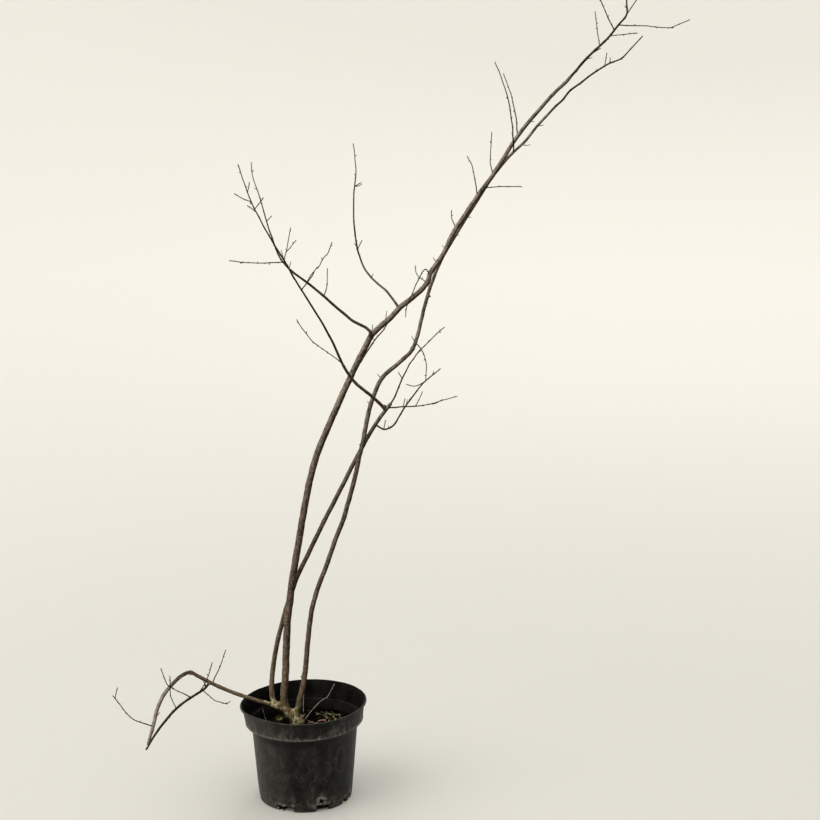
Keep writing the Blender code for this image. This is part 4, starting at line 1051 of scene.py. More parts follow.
def pot_surface():
    """Black nursery plastic: dusted in clouds and on its edges, scuffed at its notches, with a painted sheen on
    its left side, painted shade under its band and inside its notches, and a pale lip line that is partly dusted
    and partly a painted highlight.
    """
    made = Surface("nursery_pot_plastic", 0.5, 0.12)
    speckle = made.noise(made.place((420.0, 420.0, 300.0)), 1.0, 5.0, 0.7)
    clouds = made.noise(made.place((30.0, 30.0, 24.0)), 1.0, 6.0, 0.68)
    smudges = made.noise(made.place((90.0, 90.0, 60.0)), 1.0, 5.0, 0.7, 0.6)
    upright = made.noise(made.place((260.0, 260.0, 12.0)), 1.0, 4.0, 0.6)
    colour = made.mix(made.span(clouds, 0.4, 0.66), (0.0018, 0.0018, 0.0016), (0.015, 0.0147, 0.0125))
    smudged = made.math("MULTIPLY", made.span(smudges, 0.48, 0.64, 0.0, 0.75), made.span(clouds, 0.42, 0.56))
    colour = made.mix(smudged, colour, (0.04, 0.039, 0.033))
    # Painted light: the left side, which faces the key light, is paler, as a sheen broken up by smudges
    side = made.math("MULTIPLY", made.span(made.facing((-0.95, -0.3, 0.0)), 0.4, 1.0, 0.0, 0.75),
                     made.span(smudges, 0.36, 0.6, 0.45, 1.0))
    colour = made.mix(side, colour, (0.06, 0.057, 0.05))
    place = made.grain((1.0, 1.0, 1.0))
    level = made.split(place, "Z")
    scuffs = made.math("MULTIPLY", made.span(upright, 0.58, 0.68), made.span(clouds, 0.46, 0.6))
    scuffs = made.math("MULTIPLY", scuffs, made.span(level, POT_NECK_Z - 2.0, POT_NECK_Z, 1.0, 0.0))
    colour = made.mix(made.math("MULTIPLY", scuffs, 0.16), colour, (0.12, 0.115, 0.1))
    # Painted shade: near black just under the band's edge, where it overhangs
    under = made.math("MULTIPLY", made.span(level, POT_BAND_Z - 0.85, POT_BAND_Z - 0.5),
                      made.span(level, POT_BAND_Z - 0.2, POT_BAND_Z - 0.14, 0.9, 0.0))
    colour = made.mix(under, colour, (0.002, 0.002, 0.002))
    edge = made.math("MULTIPLY", made.span(level, POT_BAND_Z - 0.2, POT_BAND_Z - 0.06),
                     made.span(level, POT_BAND_Z + 0.06, POT_BAND_Z + 0.5, 1.0, 0.0))
    edge = made.math("MULTIPLY", edge, made.span(clouds, 0.4, 0.62, 0.12, 0.5))
    over = made.math("MULTIPLY", made.span(level, POT_BAND_Z - 0.1, POT_BAND_Z),
                     made.span(level, POT_BAND_Z, POT_BAND_Z + 2.4, 1.0, 0.0))
    # The pale line on top of the lip is partly real dirt and partly a painted highlight
    lip = made.span(level, POT_HEIGHT - 0.1, POT_HEIGHT - 0.02, 0.0, 0.4)
    foot = made.span(level, 0.0, 3.2, 0.4, 0.0)
    dust_and_lip_highlight = made.math("ADD", edge, made.math("MULTIPLY", lip, made.span(smudges, 0.4, 0.6, 0.3, 1.0)))
    patchy = made.math("MULTIPLY", foot, made.span(smudges, 0.42, 0.62))
    cloudy = made.math("MULTIPLY", over, made.span(smudges, 0.44, 0.62, 0.0, 0.4))
    patchy = made.math("ADD", patchy, cloudy)
    worn = made.node("ShaderNodeAttribute", attribute_name="wear").outputs["Fac"]
    worn = made.math("MULTIPLY", worn, made.span(smudges, 0.42, 0.56, 0.05, 1.1))
    dust_and_lip_highlight = made.math("ADD", dust_and_lip_highlight, made.math("ADD", patchy, worn))
    dust_and_lip_highlight = made.math("MULTIPLY", dust_and_lip_highlight, made.span(speckle, 0.3, 0.6, 0.35, 1.0))
    colour = made.mix(dust_and_lip_highlight, colour, (0.2, 0.192, 0.168))
    shade = made.math("MULTIPLY", made.span(level, POT_NECK_Z - 0.5, POT_NECK_Z + 0.1),
                      made.span(level, POT_BAND_Z - 0.16, POT_BAND_Z - 0.12, 1.0, 0.0))
    colour = made.mix(made.math("MULTIPLY", shade, 0.9), colour, (0.0012, 0.0012, 0.0012))
    level_place = made.node("ShaderNodeVectorMath", operation="MULTIPLY")
    made.link(place, level_place.inputs[0])
    level_place.inputs[1].default_value = (1.0, 1.0, 0.0)
    radius = made.node("ShaderNodeVectorMath", operation="LENGTH")
    made.link(level_place.outputs["Vector"], radius.inputs[0])
    # Painted shade: places further in than the outer wall, as inside the notches, are near black
    within = made.span(radius.outputs["Value"], POT_BASE_RADIUS - 0.3, POT_BASE_RADIUS - 0.12, 1.0, 0.0)
    within = made.math("MULTIPLY", within, made.span(level, 0.02, 0.05))
    colour = made.mix(within, colour, (0.0012, 0.0012, 0.0012))
    roughness = made.math("ADD", made.span(clouds, 0.35, 0.65, 0.4, 0.58),
                          made.math("MULTIPLY", scuffs, 0.2))
    return made.finish(colour, roughness, ((speckle, 0.12, 0.0002), (scuffs, 0.12, 0.0002)))


def inner_pot_surface():
    """The inside of the pot: blacker and glossier, with painted light on the wall that faces the light and a
    painted highlight along its ledge on that side.
    """
    made = Surface("inner_pot_plastic", 0.5, 0.04)
    clouds = made.noise(made.place((36.0, 36.0, 30.0)), 1.0, 5.0, 0.66)
    rings = made.noise(made.place((10.0, 10.0, 500.0)), 1.0, 2.0, 0.5)
    colour = made.mix(made.span(clouds, 0.45, 0.7, 0.0, 0.7), (0.0015, 0.0015, 0.0015),
                      (0.009, 0.0088, 0.0074))
    # Painted light: the inner wall that faces the light is paler, broken up by clouds
    lit_inner_wall = made.math("MULTIPLY", made.span(made.facing((-0.8, -0.6, 0.0)), 0.1, 0.9),
                      made.span(clouds, 0.38, 0.6, 0.3, 1.0))
    colour = made.mix(made.math("MULTIPLY", lit_inner_wall, 0.5), colour, (0.024, 0.023, 0.0195))
    level = made.split(made.grain((1.0, 1.0, 1.0)), "Z")
    # Painted highlight: a pale line along the ledge, on the wall that faces the light
    ledge = made.math("MULTIPLY", made.span(level, POT_LEDGE_Z - 0.04, POT_LEDGE_Z),
                      made.span(level, POT_LEDGE_Z + 0.05, POT_LEDGE_Z + 0.1, 1.0, 0.0))
    ledge = made.math("MULTIPLY", ledge, made.span(made.facing((-0.8, -0.6, 0.0)), 0.0, 0.4))
    colour = made.mix(made.math("MULTIPLY", ledge, made.span(clouds, 0.4, 0.6, 0.1, 0.35)), colour,
                      (0.12, 0.115, 0.1))
    return made.finish(colour, made.span(clouds, 0.35, 0.65, 0.42, 0.6), ((rings, 0.05, 0.0002),))


def plain_surface(name, colour, darker, roughness, scale=300.0):
    """One base colour that varies to a darker one, with a fine uneven skin."""
    made = Surface(name, roughness, 0.3)
    cloud = made.noise(made.place((scale, scale, scale * 0.5)), 1.0, 3.0)
    mixed = made.mix(made.span(cloud, 0.35, 0.65), darker, colour)
    return made.finish(mixed, None, ((cloud, 0.4, 0.0004),))


# Pot

def lean_rim(vertices):
    """Leans the pot's upper part: heights grow to the right and the back, and the band shifts."""
    vertices = np.array(vertices, float)
    outward = np.interp(np.hypot(vertices[:, 0], vertices[:, 1]), (LEAN_START, LEAN_FULL), (0.0, 1.0))
    rise = RIM_TILT_X * vertices[:, 0] + RIM_TILT_Y * vertices[:, 1]
    rise = rise * np.maximum(vertices[:, 2], 0.0) / POT_HEIGHT
    shift = RIM_SHIFT * np.maximum(vertices[:, 2] - POT_NECK_Z, 0.0) / (POT_HEIGHT - POT_NECK_Z)
    vertices[:, 0] += shift * outward
    vertices[:, 2] += rise * outward + rim_bump(vertices)
    return vertices


def rim_bump(places):
    """How far the rim is bent up at each place: most at the lip, and nothing under the band."""
    turn = np.degrees(np.arctan2(places[:, 1], places[:, 0])) - RIM_BUMP_BEARING
    turn = (turn + 180.0) % 360.0 - 180.0
    high = np.clip((places[:, 2] - POT_NECK_Z) / (POT_HEIGHT - POT_NECK_Z), 0.0, 1.0)
    out = np.interp(np.hypot(places[:, 0], places[:, 1]), (LEAN_START, LEAN_FULL), (0.0, 1.0))
    return RIM_BUMP * np.exp(-(turn / RIM_BUMP_SPREAD) ** 2) * high * out


def wall_radius(height):
    """Outside of the pot under its lip: wall, chamfer and band."""
    heights = (0.0, POT_NECK_Z, POT_BAND_Z, POT_HEIGHT)
    return float(np.interp(height, heights, (POT_BASE_RADIUS, POT_NECK_RADIUS, POT_BAND_RADIUS,
                                             POT_LIP_RADIUS - POT_LIP_WIDTH)))


def compass(bearing):
    """The level direction at a bearing, in degrees from +X towards +Y."""
    return np.array([math.cos(math.radians(bearing)), math.sin(math.radians(bearing)), 0.0])


def turned(profile, segments):
    """A closed solid turned about Z, from (radius, height) pairs that start and end on the axis."""
    vertices, rings, faces = [], [], []
    for radius, height in profile:
        if radius == 0.0:
            rings.append([len(vertices)] * segments)
            vertices.append((0.0, 0.0, height))
            continue
        rings.append(list(range(len(vertices), len(vertices) + segments)))
        for number in range(segments):
            angle = 2 * math.pi * number / segments
            vertices.append((radius * math.cos(angle), radius * math.sin(angle), height))
    for lower, upper in zip(rings, rings[1:]):
        for number in range(segments):
            after = (number + 1) % segments
            corners = [lower[number], lower[after], upper[after], upper[number]]
            faces.append(list(dict.fromkeys(corners)))
    return vertices, faces


def rounded(corners, radius, steps=4):
    """A flat outline with its corners rounded, from (across, height) pairs in order."""
    corners = [np.array(corner, float) for corner in corners]
    outline = []
    for number, corner in enumerate(corners):
        before, after = corners[number - 1], corners[(number + 1) % len(corners)]
        start = corner + unit(before - corner) * radius
        end = corner + unit(after - corner) * radius
        for place in np.linspace(0.0, 1.0, steps + 1):
            outline.append(start * (1 - place) ** 2 + corner * 2 * place * (1 - place) + end * place ** 2)
    return outline


def cutter(name, layer):
    """Closed blocks set round the pot at the bearings of its notches, for one cut of each."""
    vertices, faces = [], []
    for order, bearing in enumerate(NOTCH_BEARINGS):
        out = compass(bearing)
        across = np.array([-out[1], out[0], 0.0])
        for depth, outline in notch_cuts(order)[layer:layer + 1]:
            count = len(outline)
            first = len(vertices)
            for reach in (POT_BASE_RADIUS - depth, POT_BASE_RADIUS + NOTCH_OVERSHOOT):
                for offset, height in outline:
                    vertices.append((out * reach + across * offset + (0.0, 0.0, height)) * CM)
            faces.append([first + number for number in reversed(range(count))])
            faces.append([first + count + number for number in range(count)])
            for number in range(count):
                after = (number + 1) % count
                faces.append([first + number, first + after, first + count + after,
                              first + count + number])
    mesh = bpy.data.meshes.new(name)
    mesh.from_pydata([tuple(vertex) for vertex in vertices], [], faces)
    made = bpy.data.objects.new(name, mesh)
    bpy.context.scene.collection.objects.link(made)
    return made


def applied(made, *others):
    """Applies a piece's modifiers to its mesh, and removes the objects that they used."""
    graph = bpy.context.evaluated_depsgraph_get()
    mesh = bpy.data.meshes.new_from_object(made.evaluated_get(graph))
    made.modifiers.clear()
    made.data = mesh
    for other in others:
        bpy.data.objects.remove(other, do_unlink=True)


def between(profile, step):
    """A profile with points added so that none lie further apart than the step."""
    filled = [profile[0]]
    for start, end in zip(profile, profile[1:]):
        count = max(1, math.ceil(math.dist(start, end) / step))
        for number in range(1, count + 1):
            share = number / count
            filled.append(tuple(a + (b - a) * share for a, b in zip(start, end)))
    return filled


def pot_profile():
    """Outside up to the rolled lip and down the inside, to the floor."""
    corner = [(POT_BASE_RADIUS - POT_CORNER * (1 - math.sin(angle)), POT_CORNER * (1 - math.cos(angle)))
              for angle in np.linspace(0.0, math.pi / 2, 6)]
    lip_z = POT_HEIGHT - POT_LIP_HEIGHT
    lip_middle = (POT_LIP_RADIUS - POT_LIP_WIDTH / 2, POT_HEIGHT - POT_LIP_HEIGHT / 2)
    lip = [(lip_middle[0] + POT_LIP_WIDTH / 2 * math.cos(angle),
            lip_middle[1] + POT_LIP_HEIGHT / 2 * math.sin(angle))
           for angle in np.linspace(-1.2, 2.7, 12)]
    band_edge = [(POT_BAND_RADIUS - 0.5, POT_BAND_Z - 0.24), (POT_BAND_RADIUS - 0.03, POT_BAND_Z - 0.15),
                 (POT_BAND_RADIUS + 0.05, POT_BAND_Z - 0.04), (POT_BAND_RADIUS + 0.06, POT_BAND_Z + 0.08),
                 (POT_BAND_RADIUS + 0.03, POT_BAND_Z + 0.2)]
    wall = [(POT_NECK_RADIUS - 0.05, POT_NECK_Z - 0.5), (POT_NECK_RADIUS + 0.02, POT_NECK_Z)]
    worn_top = (wall_radius(3.0), 3.0)
    outside = between([(0.0, 0.0), corner[0]], 2.0)[:-1] + corner
    outside += between([corner[-1], worn_top], 0.16)[1:]
    outside += between([worn_top, wall[0]], 0.7)[1:] + wall[1:]
    outside += between([wall[-1], band_edge[0]], 0.5)[1:] + band_edge[1:]
    outside += between([band_edge[-1], (wall_radius(lip_z), lip_z)], 0.5)[1:]
    ledge_z = POT_LEDGE_Z
    ledge = wall_radius(ledge_z) - POT_WALL
    inside = [(wall_radius(POT_HEIGHT - 0.7) - POT_WALL, POT_HEIGHT - 0.7), (ledge, ledge_z + 0.05),
              (ledge - 0.04, ledge_z), (ledge - 0.14, ledge_z - 0.04), (ledge - 0.36, ledge_z - 0.12),
              (POT_BAND_RADIUS - 0.66, POT_BAND_Z - 0.28), (POT_NECK_RADIUS - POT_WALL, POT_NECK_Z - 0.1),
              (wall_radius(CORNER_RING_HEIGHT) - POT_WALL, CORNER_RING_HEIGHT),
              (POT_BASE_RADIUS - CORNER_RING, CORNER_RING_HEIGHT),
              (POT_BASE_RADIUS - CORNER_RING, POT_FLOOR), (0.0, POT_FLOOR)]
    return outside + lip + between(inside, 1.2)


def notch_cuts(number):
    """The cuts of a notch, each as its depth and its rounded outline."""
    shape = NOTCH_SHAPES[number % len(NOTCH_SHAPES)]
    return [(depth, rounded(outline, 0.07)) for depth, outline in shape]


def notch_wear(places):
    """How worn the plastic is at each place: fully at a notch's edge, and less further from it."""
    closest = np.full(len(places), float("inf"))
    for number, bearing in enumerate(NOTCH_BEARINGS):
        turn = np.degrees(np.arctan2(places[:, 1], places[:, 0])) - bearing
        across = np.radians((turn + 180.0) % 360.0 - 180.0) * POT_BASE_RADIUS
        for _, outline in notch_cuts(number):
            for start, end in zip(outline, outline[1:] + outline[:1]):
                step = end - start
                offset = np.stack([across, places[:, 2]], axis=1) - start
                share = np.clip(offset @ step / np.dot(step, step), 0.0, 1.0)
                closest = np.minimum(closest, np.linalg.norm(offset - share[:, None] * step, axis=1))
    return np.clip(1.0 - closest / NOTCH_WEAR, 0.0, 1.0)


def build_pot(surface, inner_surface):
    """The thin shell with its notches, then its small unevenness, and where it is worn."""
    vertices, faces = turned(pot_profile(), POT_SEGMENTS)
    pile = Pile()
    pile.add(lean_rim(vertices), faces)
    pot = pile.piece("nursery_pot", surface, "pot", ("pot",))
    pot.data.materials.append(inner_surface)
    blocks = [cutter("notch_block", layer) for layer in (0, 1)]
    for block in blocks:
        cut = pot.modifiers.new("notches", "BOOLEAN")
        cut.operation = "DIFFERENCE"
        cut.solver = "EXACT"
        cut.object = block
    applied(pot, *blocks)
    places = np.array([vertex.co for vertex in pot.data.vertices]) / CM
    outward = np.interp(np.hypot(places[:, 0], places[:, 1]), (LEAN_START, LEAN_FULL), (0.0, 1.0))
    tilt = (RIM_TILT_X * places[:, 0] + RIM_TILT_Y * places[:, 1]) / POT_HEIGHT
    places[:, 2] = (places[:, 2] - rim_bump(places)) / (1.0 + tilt * outward)
    pot.data.attributes["grain"].data.foreach_set("vector", places.ravel())
    wear = pot.data.attributes.new("wear", "FLOAT", "POINT")
    wear.data.foreach_set("value", notch_wear(places))
    for vertex in pot.data.vertices:
        place = vertex.co
        radius = math.hypot(place.x, place.y)
        if radius < 0.05:
            continue
        out = Vector((place.x, place.y, 0.0)) / radius
        high = min(max((place.z - 0.02) / 0.15, 0.0), 1.0)
        wave = noise.noise(Vector((out.x * 1.6, out.y * 1.6, place.z * 9.0)))
        ripple = noise.noise(Vector((out.x * 9.0, out.y * 9.0, place.z * 20.0 + 7.0)))
        amount = (WALL_WAVE + (LIP_WAVE - WALL_WAVE) * high) * (wave + 0.3 * ripple) * CM
        vertex.co = place + out * amount * high
        if place.z > 0.165:
            vertex.co.z += LIP_WAVE * CM * ripple * 0.8
    for face in pot.data.polygons:
        centre, normal = face.center, face.normal
        inward = centre.x * normal.x + centre.y * normal.y < -0.1 * math.hypot(centre.x, centre.y)
        face.material_index = 1 if inward and centre.z > CORNER_RING_HEIGHT * CM else 0
    pot.data.shade_smooth()
    pot.data.set_sharp_from_angle(angle=math.radians(35.0))
    pot.data.transform(Matrix.Translation(Vector(POT_SHIFT) * CM))
    return pot


def scratch_strip(start, end, bend, width):
    """A thin raised mark that follows the pot's wall from one (bearing, height) to another."""
    vertices = []
    count = 14
    for number in range(count + 1):
        share = number / count
        bow = bend * math.sin(math.pi * share)
        bearing = start[0] + (end[0] - start[0]) * share + bow
        height = start[1] + (end[1] - start[1]) * share
        out = compass(bearing)
        across = np.array([-out[1], out[0], 0.0])
        thin = width * math.sin(math.pi * (0.06 + 0.88 * share))
        centre = out * wall_radius(height) + (0.0, 0.0, height)
        vertices += [centre - across * thin - out * 0.02, centre + out * 0.012,
                     centre + across * thin - out * 0.02, centre - out * 0.05]
    faces = [(3, 2, 1, 0)]
    for ring in range(count):
        for number in range(4):
            low, high = ring * 4 + number, ring * 4 + (number + 1) % 4
            faces.append((low, high, high + 4, low + 4))
    last = count * 4
    faces.append((last, last + 1, last + 2, last + 3))
    return lean_rim(vertices) + POT_SHIFT, faces


def build_scratches(surface):
    """Pale scratches: curved ones in front, fine upright ones all round, and a pale speck."""
    pile = Pile()
    for start, end, bend in (((-92.0, 7.4), (-88.5, 6.6), 1.6), ((-91.5, 7.0), (-87.5, 6.1), 1.8),
                             ((-90.0, 7.9), (-87.0, 7.2), 1.0)):
        pile.add(*scratch_strip(start, end, bend, 0.018))
    source = random.Random(71)
    for count, bearings, heights, reach in ((46, (-180.0, 180.0), (0.9, 9.0), 3.2),
                                            (26, (-68.0, -38.0), (1.2, 9.5), 1.2)):
        for _ in range(count):
            bearing = source.uniform(*bearings)
            height = source.uniform(*heights)
            length = source.uniform(0.25, reach)
            lean = source.uniform(-2.0, 2.0)
            pile.add(*scratch_strip((bearing, height), (bearing + lean, height + length),
                                    source.uniform(-0.9, 0.9), source.uniform(0.006, 0.016)))
    pile.add(*ball(compass(-134.0) * wall_radius(2.5) + (0.0, 0.0, 2.5), (0.12, 0.12, 0.12), 2))
    return pile.piece("pot_scratches", surface, "pot")


# Soil

def soil_height(x, y):
    """Height of the soil's surface before the pot's lean: level in the middle, lower at the wall."""
    radius = math.hypot(x, y)
    edge = SOIL_TOP - SOIL_EDGE_DROP
    base = float(np.interp(radius, (SOIL_LEVEL_RADIUS, POT_BAND_RADIUS - 0.6), (SOIL_TOP, edge)))
    lump = noise.noise(Vector((x * 0.55, y * 0.55, 3.0))) * 1.3
    lump += noise.noise(Vector((x * 1.7, y * 1.7, 9.0))) * 0.8
    lump += noise.noise(Vector((x * 4.5, y * 4.5, 17.0))) * 0.5
    return base + SOIL_LUMPS * lump


def build_soil(surface):
    """The soil that fills the pot, with a lumpy surface."""
    room = POT_WALL + 2 * GAP
    edge_z = SOIL_TOP - SOIL_EDGE_DROP
    edge = wall_radius(edge_z - 0.3) - room
    low = CORNER_RING_HEIGHT + GAP
    middle = POT_BASE_RADIUS - CORNER_RING - GAP
    profile = [(0.0, POT_FLOOR + GAP), (middle, POT_FLOOR + GAP), (middle, low),
               (wall_radius(low) - room, low), (POT_NECK_RADIUS - room, POT_NECK_Z - 0.3)]
    profile += [(edge * (1 - number / SOIL_RINGS), edge_z) for number in range(SOIL_RINGS)]
    profile.append((0.0, edge_z))
    vertices, faces = turned(profile, POT_SEGMENTS)
    vertices = [(x, y, soil_height(x, y) if z == edge_z else z) for x, y, z in vertices]
    pile = Pile()
    pile.add(lean_rim(vertices) + POT_SHIFT, faces)
    return pile.piece("soil_fill", surface, "soil", ("soil",))


def soil_point(x, y, lift=0.0):
    """A point on the soil's surface, with the pot's lean."""
    x, y = x - POT_SHIFT[0], y - POT_SHIFT[1]
    return lean_rim([(x, y, soil_height(x, y) + lift)])[0] + POT_SHIFT


def ball(centre, radii, subdivisions):
    """A round body with its own radius along each axis."""
    body = bmesh.new()
    bmesh.ops.create_icosphere(body, subdivisions=subdivisions, radius=1.0)
    vertices = np.array([vertex.co for vertex in body.verts]) * radii + centre
    faces = [[vertex.index for vertex in face.verts] for face in body.faces]
    body.free()
    return vertices, faces


def crumb(source, centre, size):
    """An uneven lump, from a small ball pushed in and out and flattened."""
    radii = [source.uniform(0.6, 1.3) * size, source.uniform(0.6, 1.3) * size, source.uniform(0.4, 0.8) * size]
    vertices, faces = ball((0.0, 0.0, 0.0), radii, 1)
    turn = source.uniform(0.0, 2 * math.pi)
    cos, sin = math.cos(turn), math.sin(turn)
    spin = np.array([(cos, sin, 0.0), (-sin, cos, 0.0), (0.0, 0.0, 1.0)])
    push = np.array([source.uniform(0.75, 1.2) for _ in vertices])
    return (vertices * push[:, None]) @ spin + centre, faces


def build_crumbs(surface):
    """Crumbs and bark bits scattered over the soil, closer together at the wall."""
    source = random.Random(31)
    pile = Pile()
    edge = POT_BAND_RADIUS - 1.15
    while pile.count < CRUMB_COUNT * 12:
        radius = edge * math.sqrt(source.random())
        bearing = source.uniform(0.0, 2 * math.pi)
        x, y = radius * math.cos(bearing), radius * math.sin(bearing)
        size = source.uniform(*CRUMB_SIZE) * source.uniform(0.5, 1.0)
        pile.add(*crumb(source, soil_point(x, y, size * 0.1), size))
    return pile.piece("soil_crumb_bits", surface, "soil")


# Root crown

def crown_pile(limbs):
    """The feet of all stems and the root ridges, as rough tubes that run into each other."""
    pile = Pile()
    for number, name in enumerate(STEMS):
        reach = STEMS[name]["foot"] + 0.9
        path, radii = part_of(*limbs[name], 0.0, reach)
        path = smooth_path(path, 0.2)
        radii = np.interp(lengths_along(path), lengths_along(part_of(*limbs[name], 0.0, reach)[0]),
                          part_of(*limbs[name], 0.0, reach)[1])
        if number == 0:
            radii = radii + CROWN_FLARE * np.exp(-(path[:, 2] - path[0][2]) / CROWN_FLARE_LENGTH)
        along = lengths_along(path)
        fade = np.clip((along[-1] - along) / 2.5, 0.0, 1.0)
        radii = radii * (1.0 + 0.06 * fade) + 0.01
        pile.add(*bark_tube(path, radii, 24, 400 + number, 0.05))
    for number, bearing in enumerate(ROOT_BEARINGS):
        top = np.array([*ROOT_CENTRE, SOIL_TOP + ROOT_RISE])
        end = np.array([*ROOT_CENTRE, SOIL_TOP - ROOT_RISE]) + compass(bearing) * ROOT_SPREAD
        middle = (top + end) / 2 - np.array([0.0, 0.0, ROOT_SAG])
        path = smooth_path([top, middle, end], 0.2)
        pile.add(*bark_tube(path, radii_along(path, ROOT_RADII), 20, 420 + number, 0.08))
    for centre, radii in CROWN_KNOBS:
        pile.add(*ball(centre, radii, 3))
    return pile


def build_crown(limbs, surface):
    """The root crown in one skin, rough with fibres and knobs, and cut flat in the soil's surface."""
    crown = crown_pile(limbs).piece("fibrous_root_crown", surface, "crown_bark", ("root_crown",))
    skin = crown.modifiers.new("skin", "REMESH")
    skin.mode = "VOXEL"
    skin.voxel_size = CROWN_VOXEL * CM
    soften = crown.modifiers.new("soften", "SMOOTH")
    soften.factor = 0.5
    soften.iterations = 3
    applied(crown)
    body = bmesh.new()
    body.from_mesh(crown.data)
    level = (SOIL_TOP - 0.2) * CM
    cut = bmesh.ops.bisect_plane(body, geom=body.verts[:] + body.edges[:] + body.faces[:],
                                 plane_co=(0.0, 0.0, level), plane_no=(0.0, 0.0, 1.0),
                                 clear_inner=True)
    rim = [edge for edge in cut["geom_cut"] if isinstance(edge, bmesh.types.BMEdge)]
    bmesh.ops.triangle_fill(body, edges=rim, use_beauty=True)
    bmesh.ops.recalc_face_normals(body, faces=body.faces[:])
    body.normal_update()
    # For each place, how deep it lies in a recess, for the painted shade there
    moves, hollow_shades = [], []
    for vertex in body.verts:
        place = vertex.co / CM
        if vertex.co.z < level + 0.0001:
            moves.append(0.0)
            hollow_shades.append(0.0)
            continue
        fibre = noise.noise(Vector((place.x * 4.2, place.y * 4.2, place.z * 0.9)))
        knob = noise.noise(Vector((place.x * 1.5, place.y * 1.5, place.z * 1.5 + 5.0)))
        scale = noise.noise(Vector((place.x * 7.0, place.y * 7.0, place.z * 4.0 + 11.0)))
        fade = float(np.interp(place.z, (SOIL_TOP + 3.2, SOIL_TOP + 4.6), (1.0, 0.25)))
        moves.append((0.07 * fibre + 0.1 * knob + 0.03 * scale) * fade)
        hollow_shades.append(min(max(-1.3 * fibre - 0.9 * knob - 0.3, 0.0), 1.0) * fade)
    for vertex, move in zip(body.verts, moves):
        vertex.co += vertex.normal * move * CM
    body.to_mesh(crown.data)
    body.free()
    grain = crown.data.attributes.get("grain") or crown.data.attributes.new("grain", "FLOAT_VECTOR",
                                                                              "POINT")
    grain.data.foreach_set("vector", np.array([vertex.co / CM for vertex in crown.data.vertices]).ravel())
    hollow_shade = crown.data.attributes.new("hollow_shade", "FLOAT", "POINT")
    hollow_shade.data.foreach_set("value", hollow_shades)
    crown.data.materials.clear()
    crown.data.materials.append(surface)
    crown.data.shade_smooth()
    return crown


# Stems, boughs and twigs

def build_limbs(limbs, surfaces, buds):
    """Every stem and bough as rough bark, with its seen spurs."""
    for number, (name, (path, radii)) in enumerate(limbs.items()):
        source = random.Random(200 + number)
        is_bough = name in BOUGHS
        stretch, stretch_radii = path, radii
        if not is_bough:
            stretch, stretch_radii = part_of(path, radii, STEMS[name]["foot"] - 0.5, lengths_along(path)[-1])
        scars = node_places(lengths_along(stretch)[-1], SCAR_SPACING, source)
        fine = fine_path(stretch, FINE_STEM_STEP, scars, source)
        collar = 0.55 if is_bough and not BOUGHS[name]["tip"] else 0.0
        pile = Pile()
        pile.add(*bark_tube(fine, radii_like(fine, stretch, stretch_radii),
                            BOUGH_SIDES if is_bough else STEM_SIDES, 300 + number, 0.06, collar, scars,
                            SCAR_SWELL))
        for limb, place, reach in PLACED_SPURS:
            if limb == name:
                add_placed_spur(pile, buds, path, place, reach, source)
        for limb, place, knot_radii in KNOTS:
            if limb == name:
                pile.add(*knot(place, knot_radii, source))
        slot = "bough_bark" if is_bough else "stem_bark"
        surface = surfaces.get(name, surfaces["bough" if is_bough else "stem"])
        pile.piece("bark_" + name, surface, slot, (name,))


def knot(place, radii, source):
    """An uneven swelling where a side limb leaves, with bark coordinates of its own."""
    vertices, faces = ball((0.0, 0.0, 0.0), radii, 3)
    offset = Vector((source.uniform(0.0, 50.0), 0.0, 0.0))
    push = [1.0 + 0.22 * noise.noise(Vector(vertex) * 4.0 + offset) for vertex in vertices]
    vertices = vertices * np.array(push)[:, None]
    return vertices + place, faces, vertices + (0.0, 0.0, source.uniform(0.0, 50.0))


def radii_like(fine, path, radii):
    """The radii of a path, for the finer path grown from it."""
    along = lengths_along(fine)
    coarse = lengths_along(path)
    return np.interp(along / along[-1], coarse / coarse[-1], radii)


def add_placed_spur(pile, buds, path, place, reach, source):
    """A spur that was seen in its place along a limb or twig."""
    start = point_at(path, place * lengths_along(path)[-1])
    add_spur(pile, buds, start, np.array(reach, float), (0.1, 0.075, 0.055), source)


def build_masses(leading, spurs, surfaces, weathered, buds):
    """Every mass as its leading twigs, spurs and finer twigs with their collars, nodes and buds."""
    for name, mass in MASSES.items():
        source = random.Random(500 + mass["seed"])
        pile = Pile()
        for order, (path, radii) in enumerate(leading[name]):
            nodes = node_places(lengths_along(path)[-1], BUD_SPACING, source)
            fine = fine_path(path, FINE_TWIG_STEP, nodes, source)
            fine_radii = np.maximum(radii_like(fine, path, radii), TWIG_LEAST)
            collar = 0.0 if order == 0 and mass["tip"] else 0.6
            kind = 1 if order == 0 and mass["on"] == WEATHERED_LIMB else 0
            pile.add(*bark_tube(fine, fine_radii, TWIG_SIDES, source.randrange(9999), 0.05, collar, nodes),
                     kind=kind)
            add_buds(buds, fine, fine_radii, nodes, source)
            add_twiglets(pile, buds, fine, source)
            for limb, place, reach in PLACED_SPURS:
                if limb == name + "/" + str(order):
                    add_placed_spur(pile, buds, path, place, reach, source)
        for (start, end), radii in spurs[name]:
            add_spur(pile, buds, start, (end - start) * SPUR_SHARE, radii, source)
        second = weathered if mass["on"] == WEATHERED_LIMB else None
        pile.piece("wood_" + name, surfaces.get(name, surfaces["twig"]), "twigs", (name,), second)


def add_spur(pile, buds, start, reach, radii, source):
    """A short, slightly upturned spur with a bud at its end."""
    bent = np.array([0.0, 0.0, 0.08 * np.linalg.norm(reach)])
    spur = smooth_path([start, start + reach * 0.5 - bent, start + reach], 0.12)
    spur_radii = radii_along(spur, radii)
    pile.add(*bark_tube(spur, spur_radii, SPUR_SIDES, source.randrange(9999), 0.06, 0.5))
    add_buds(buds, spur, spur_radii, [], source)


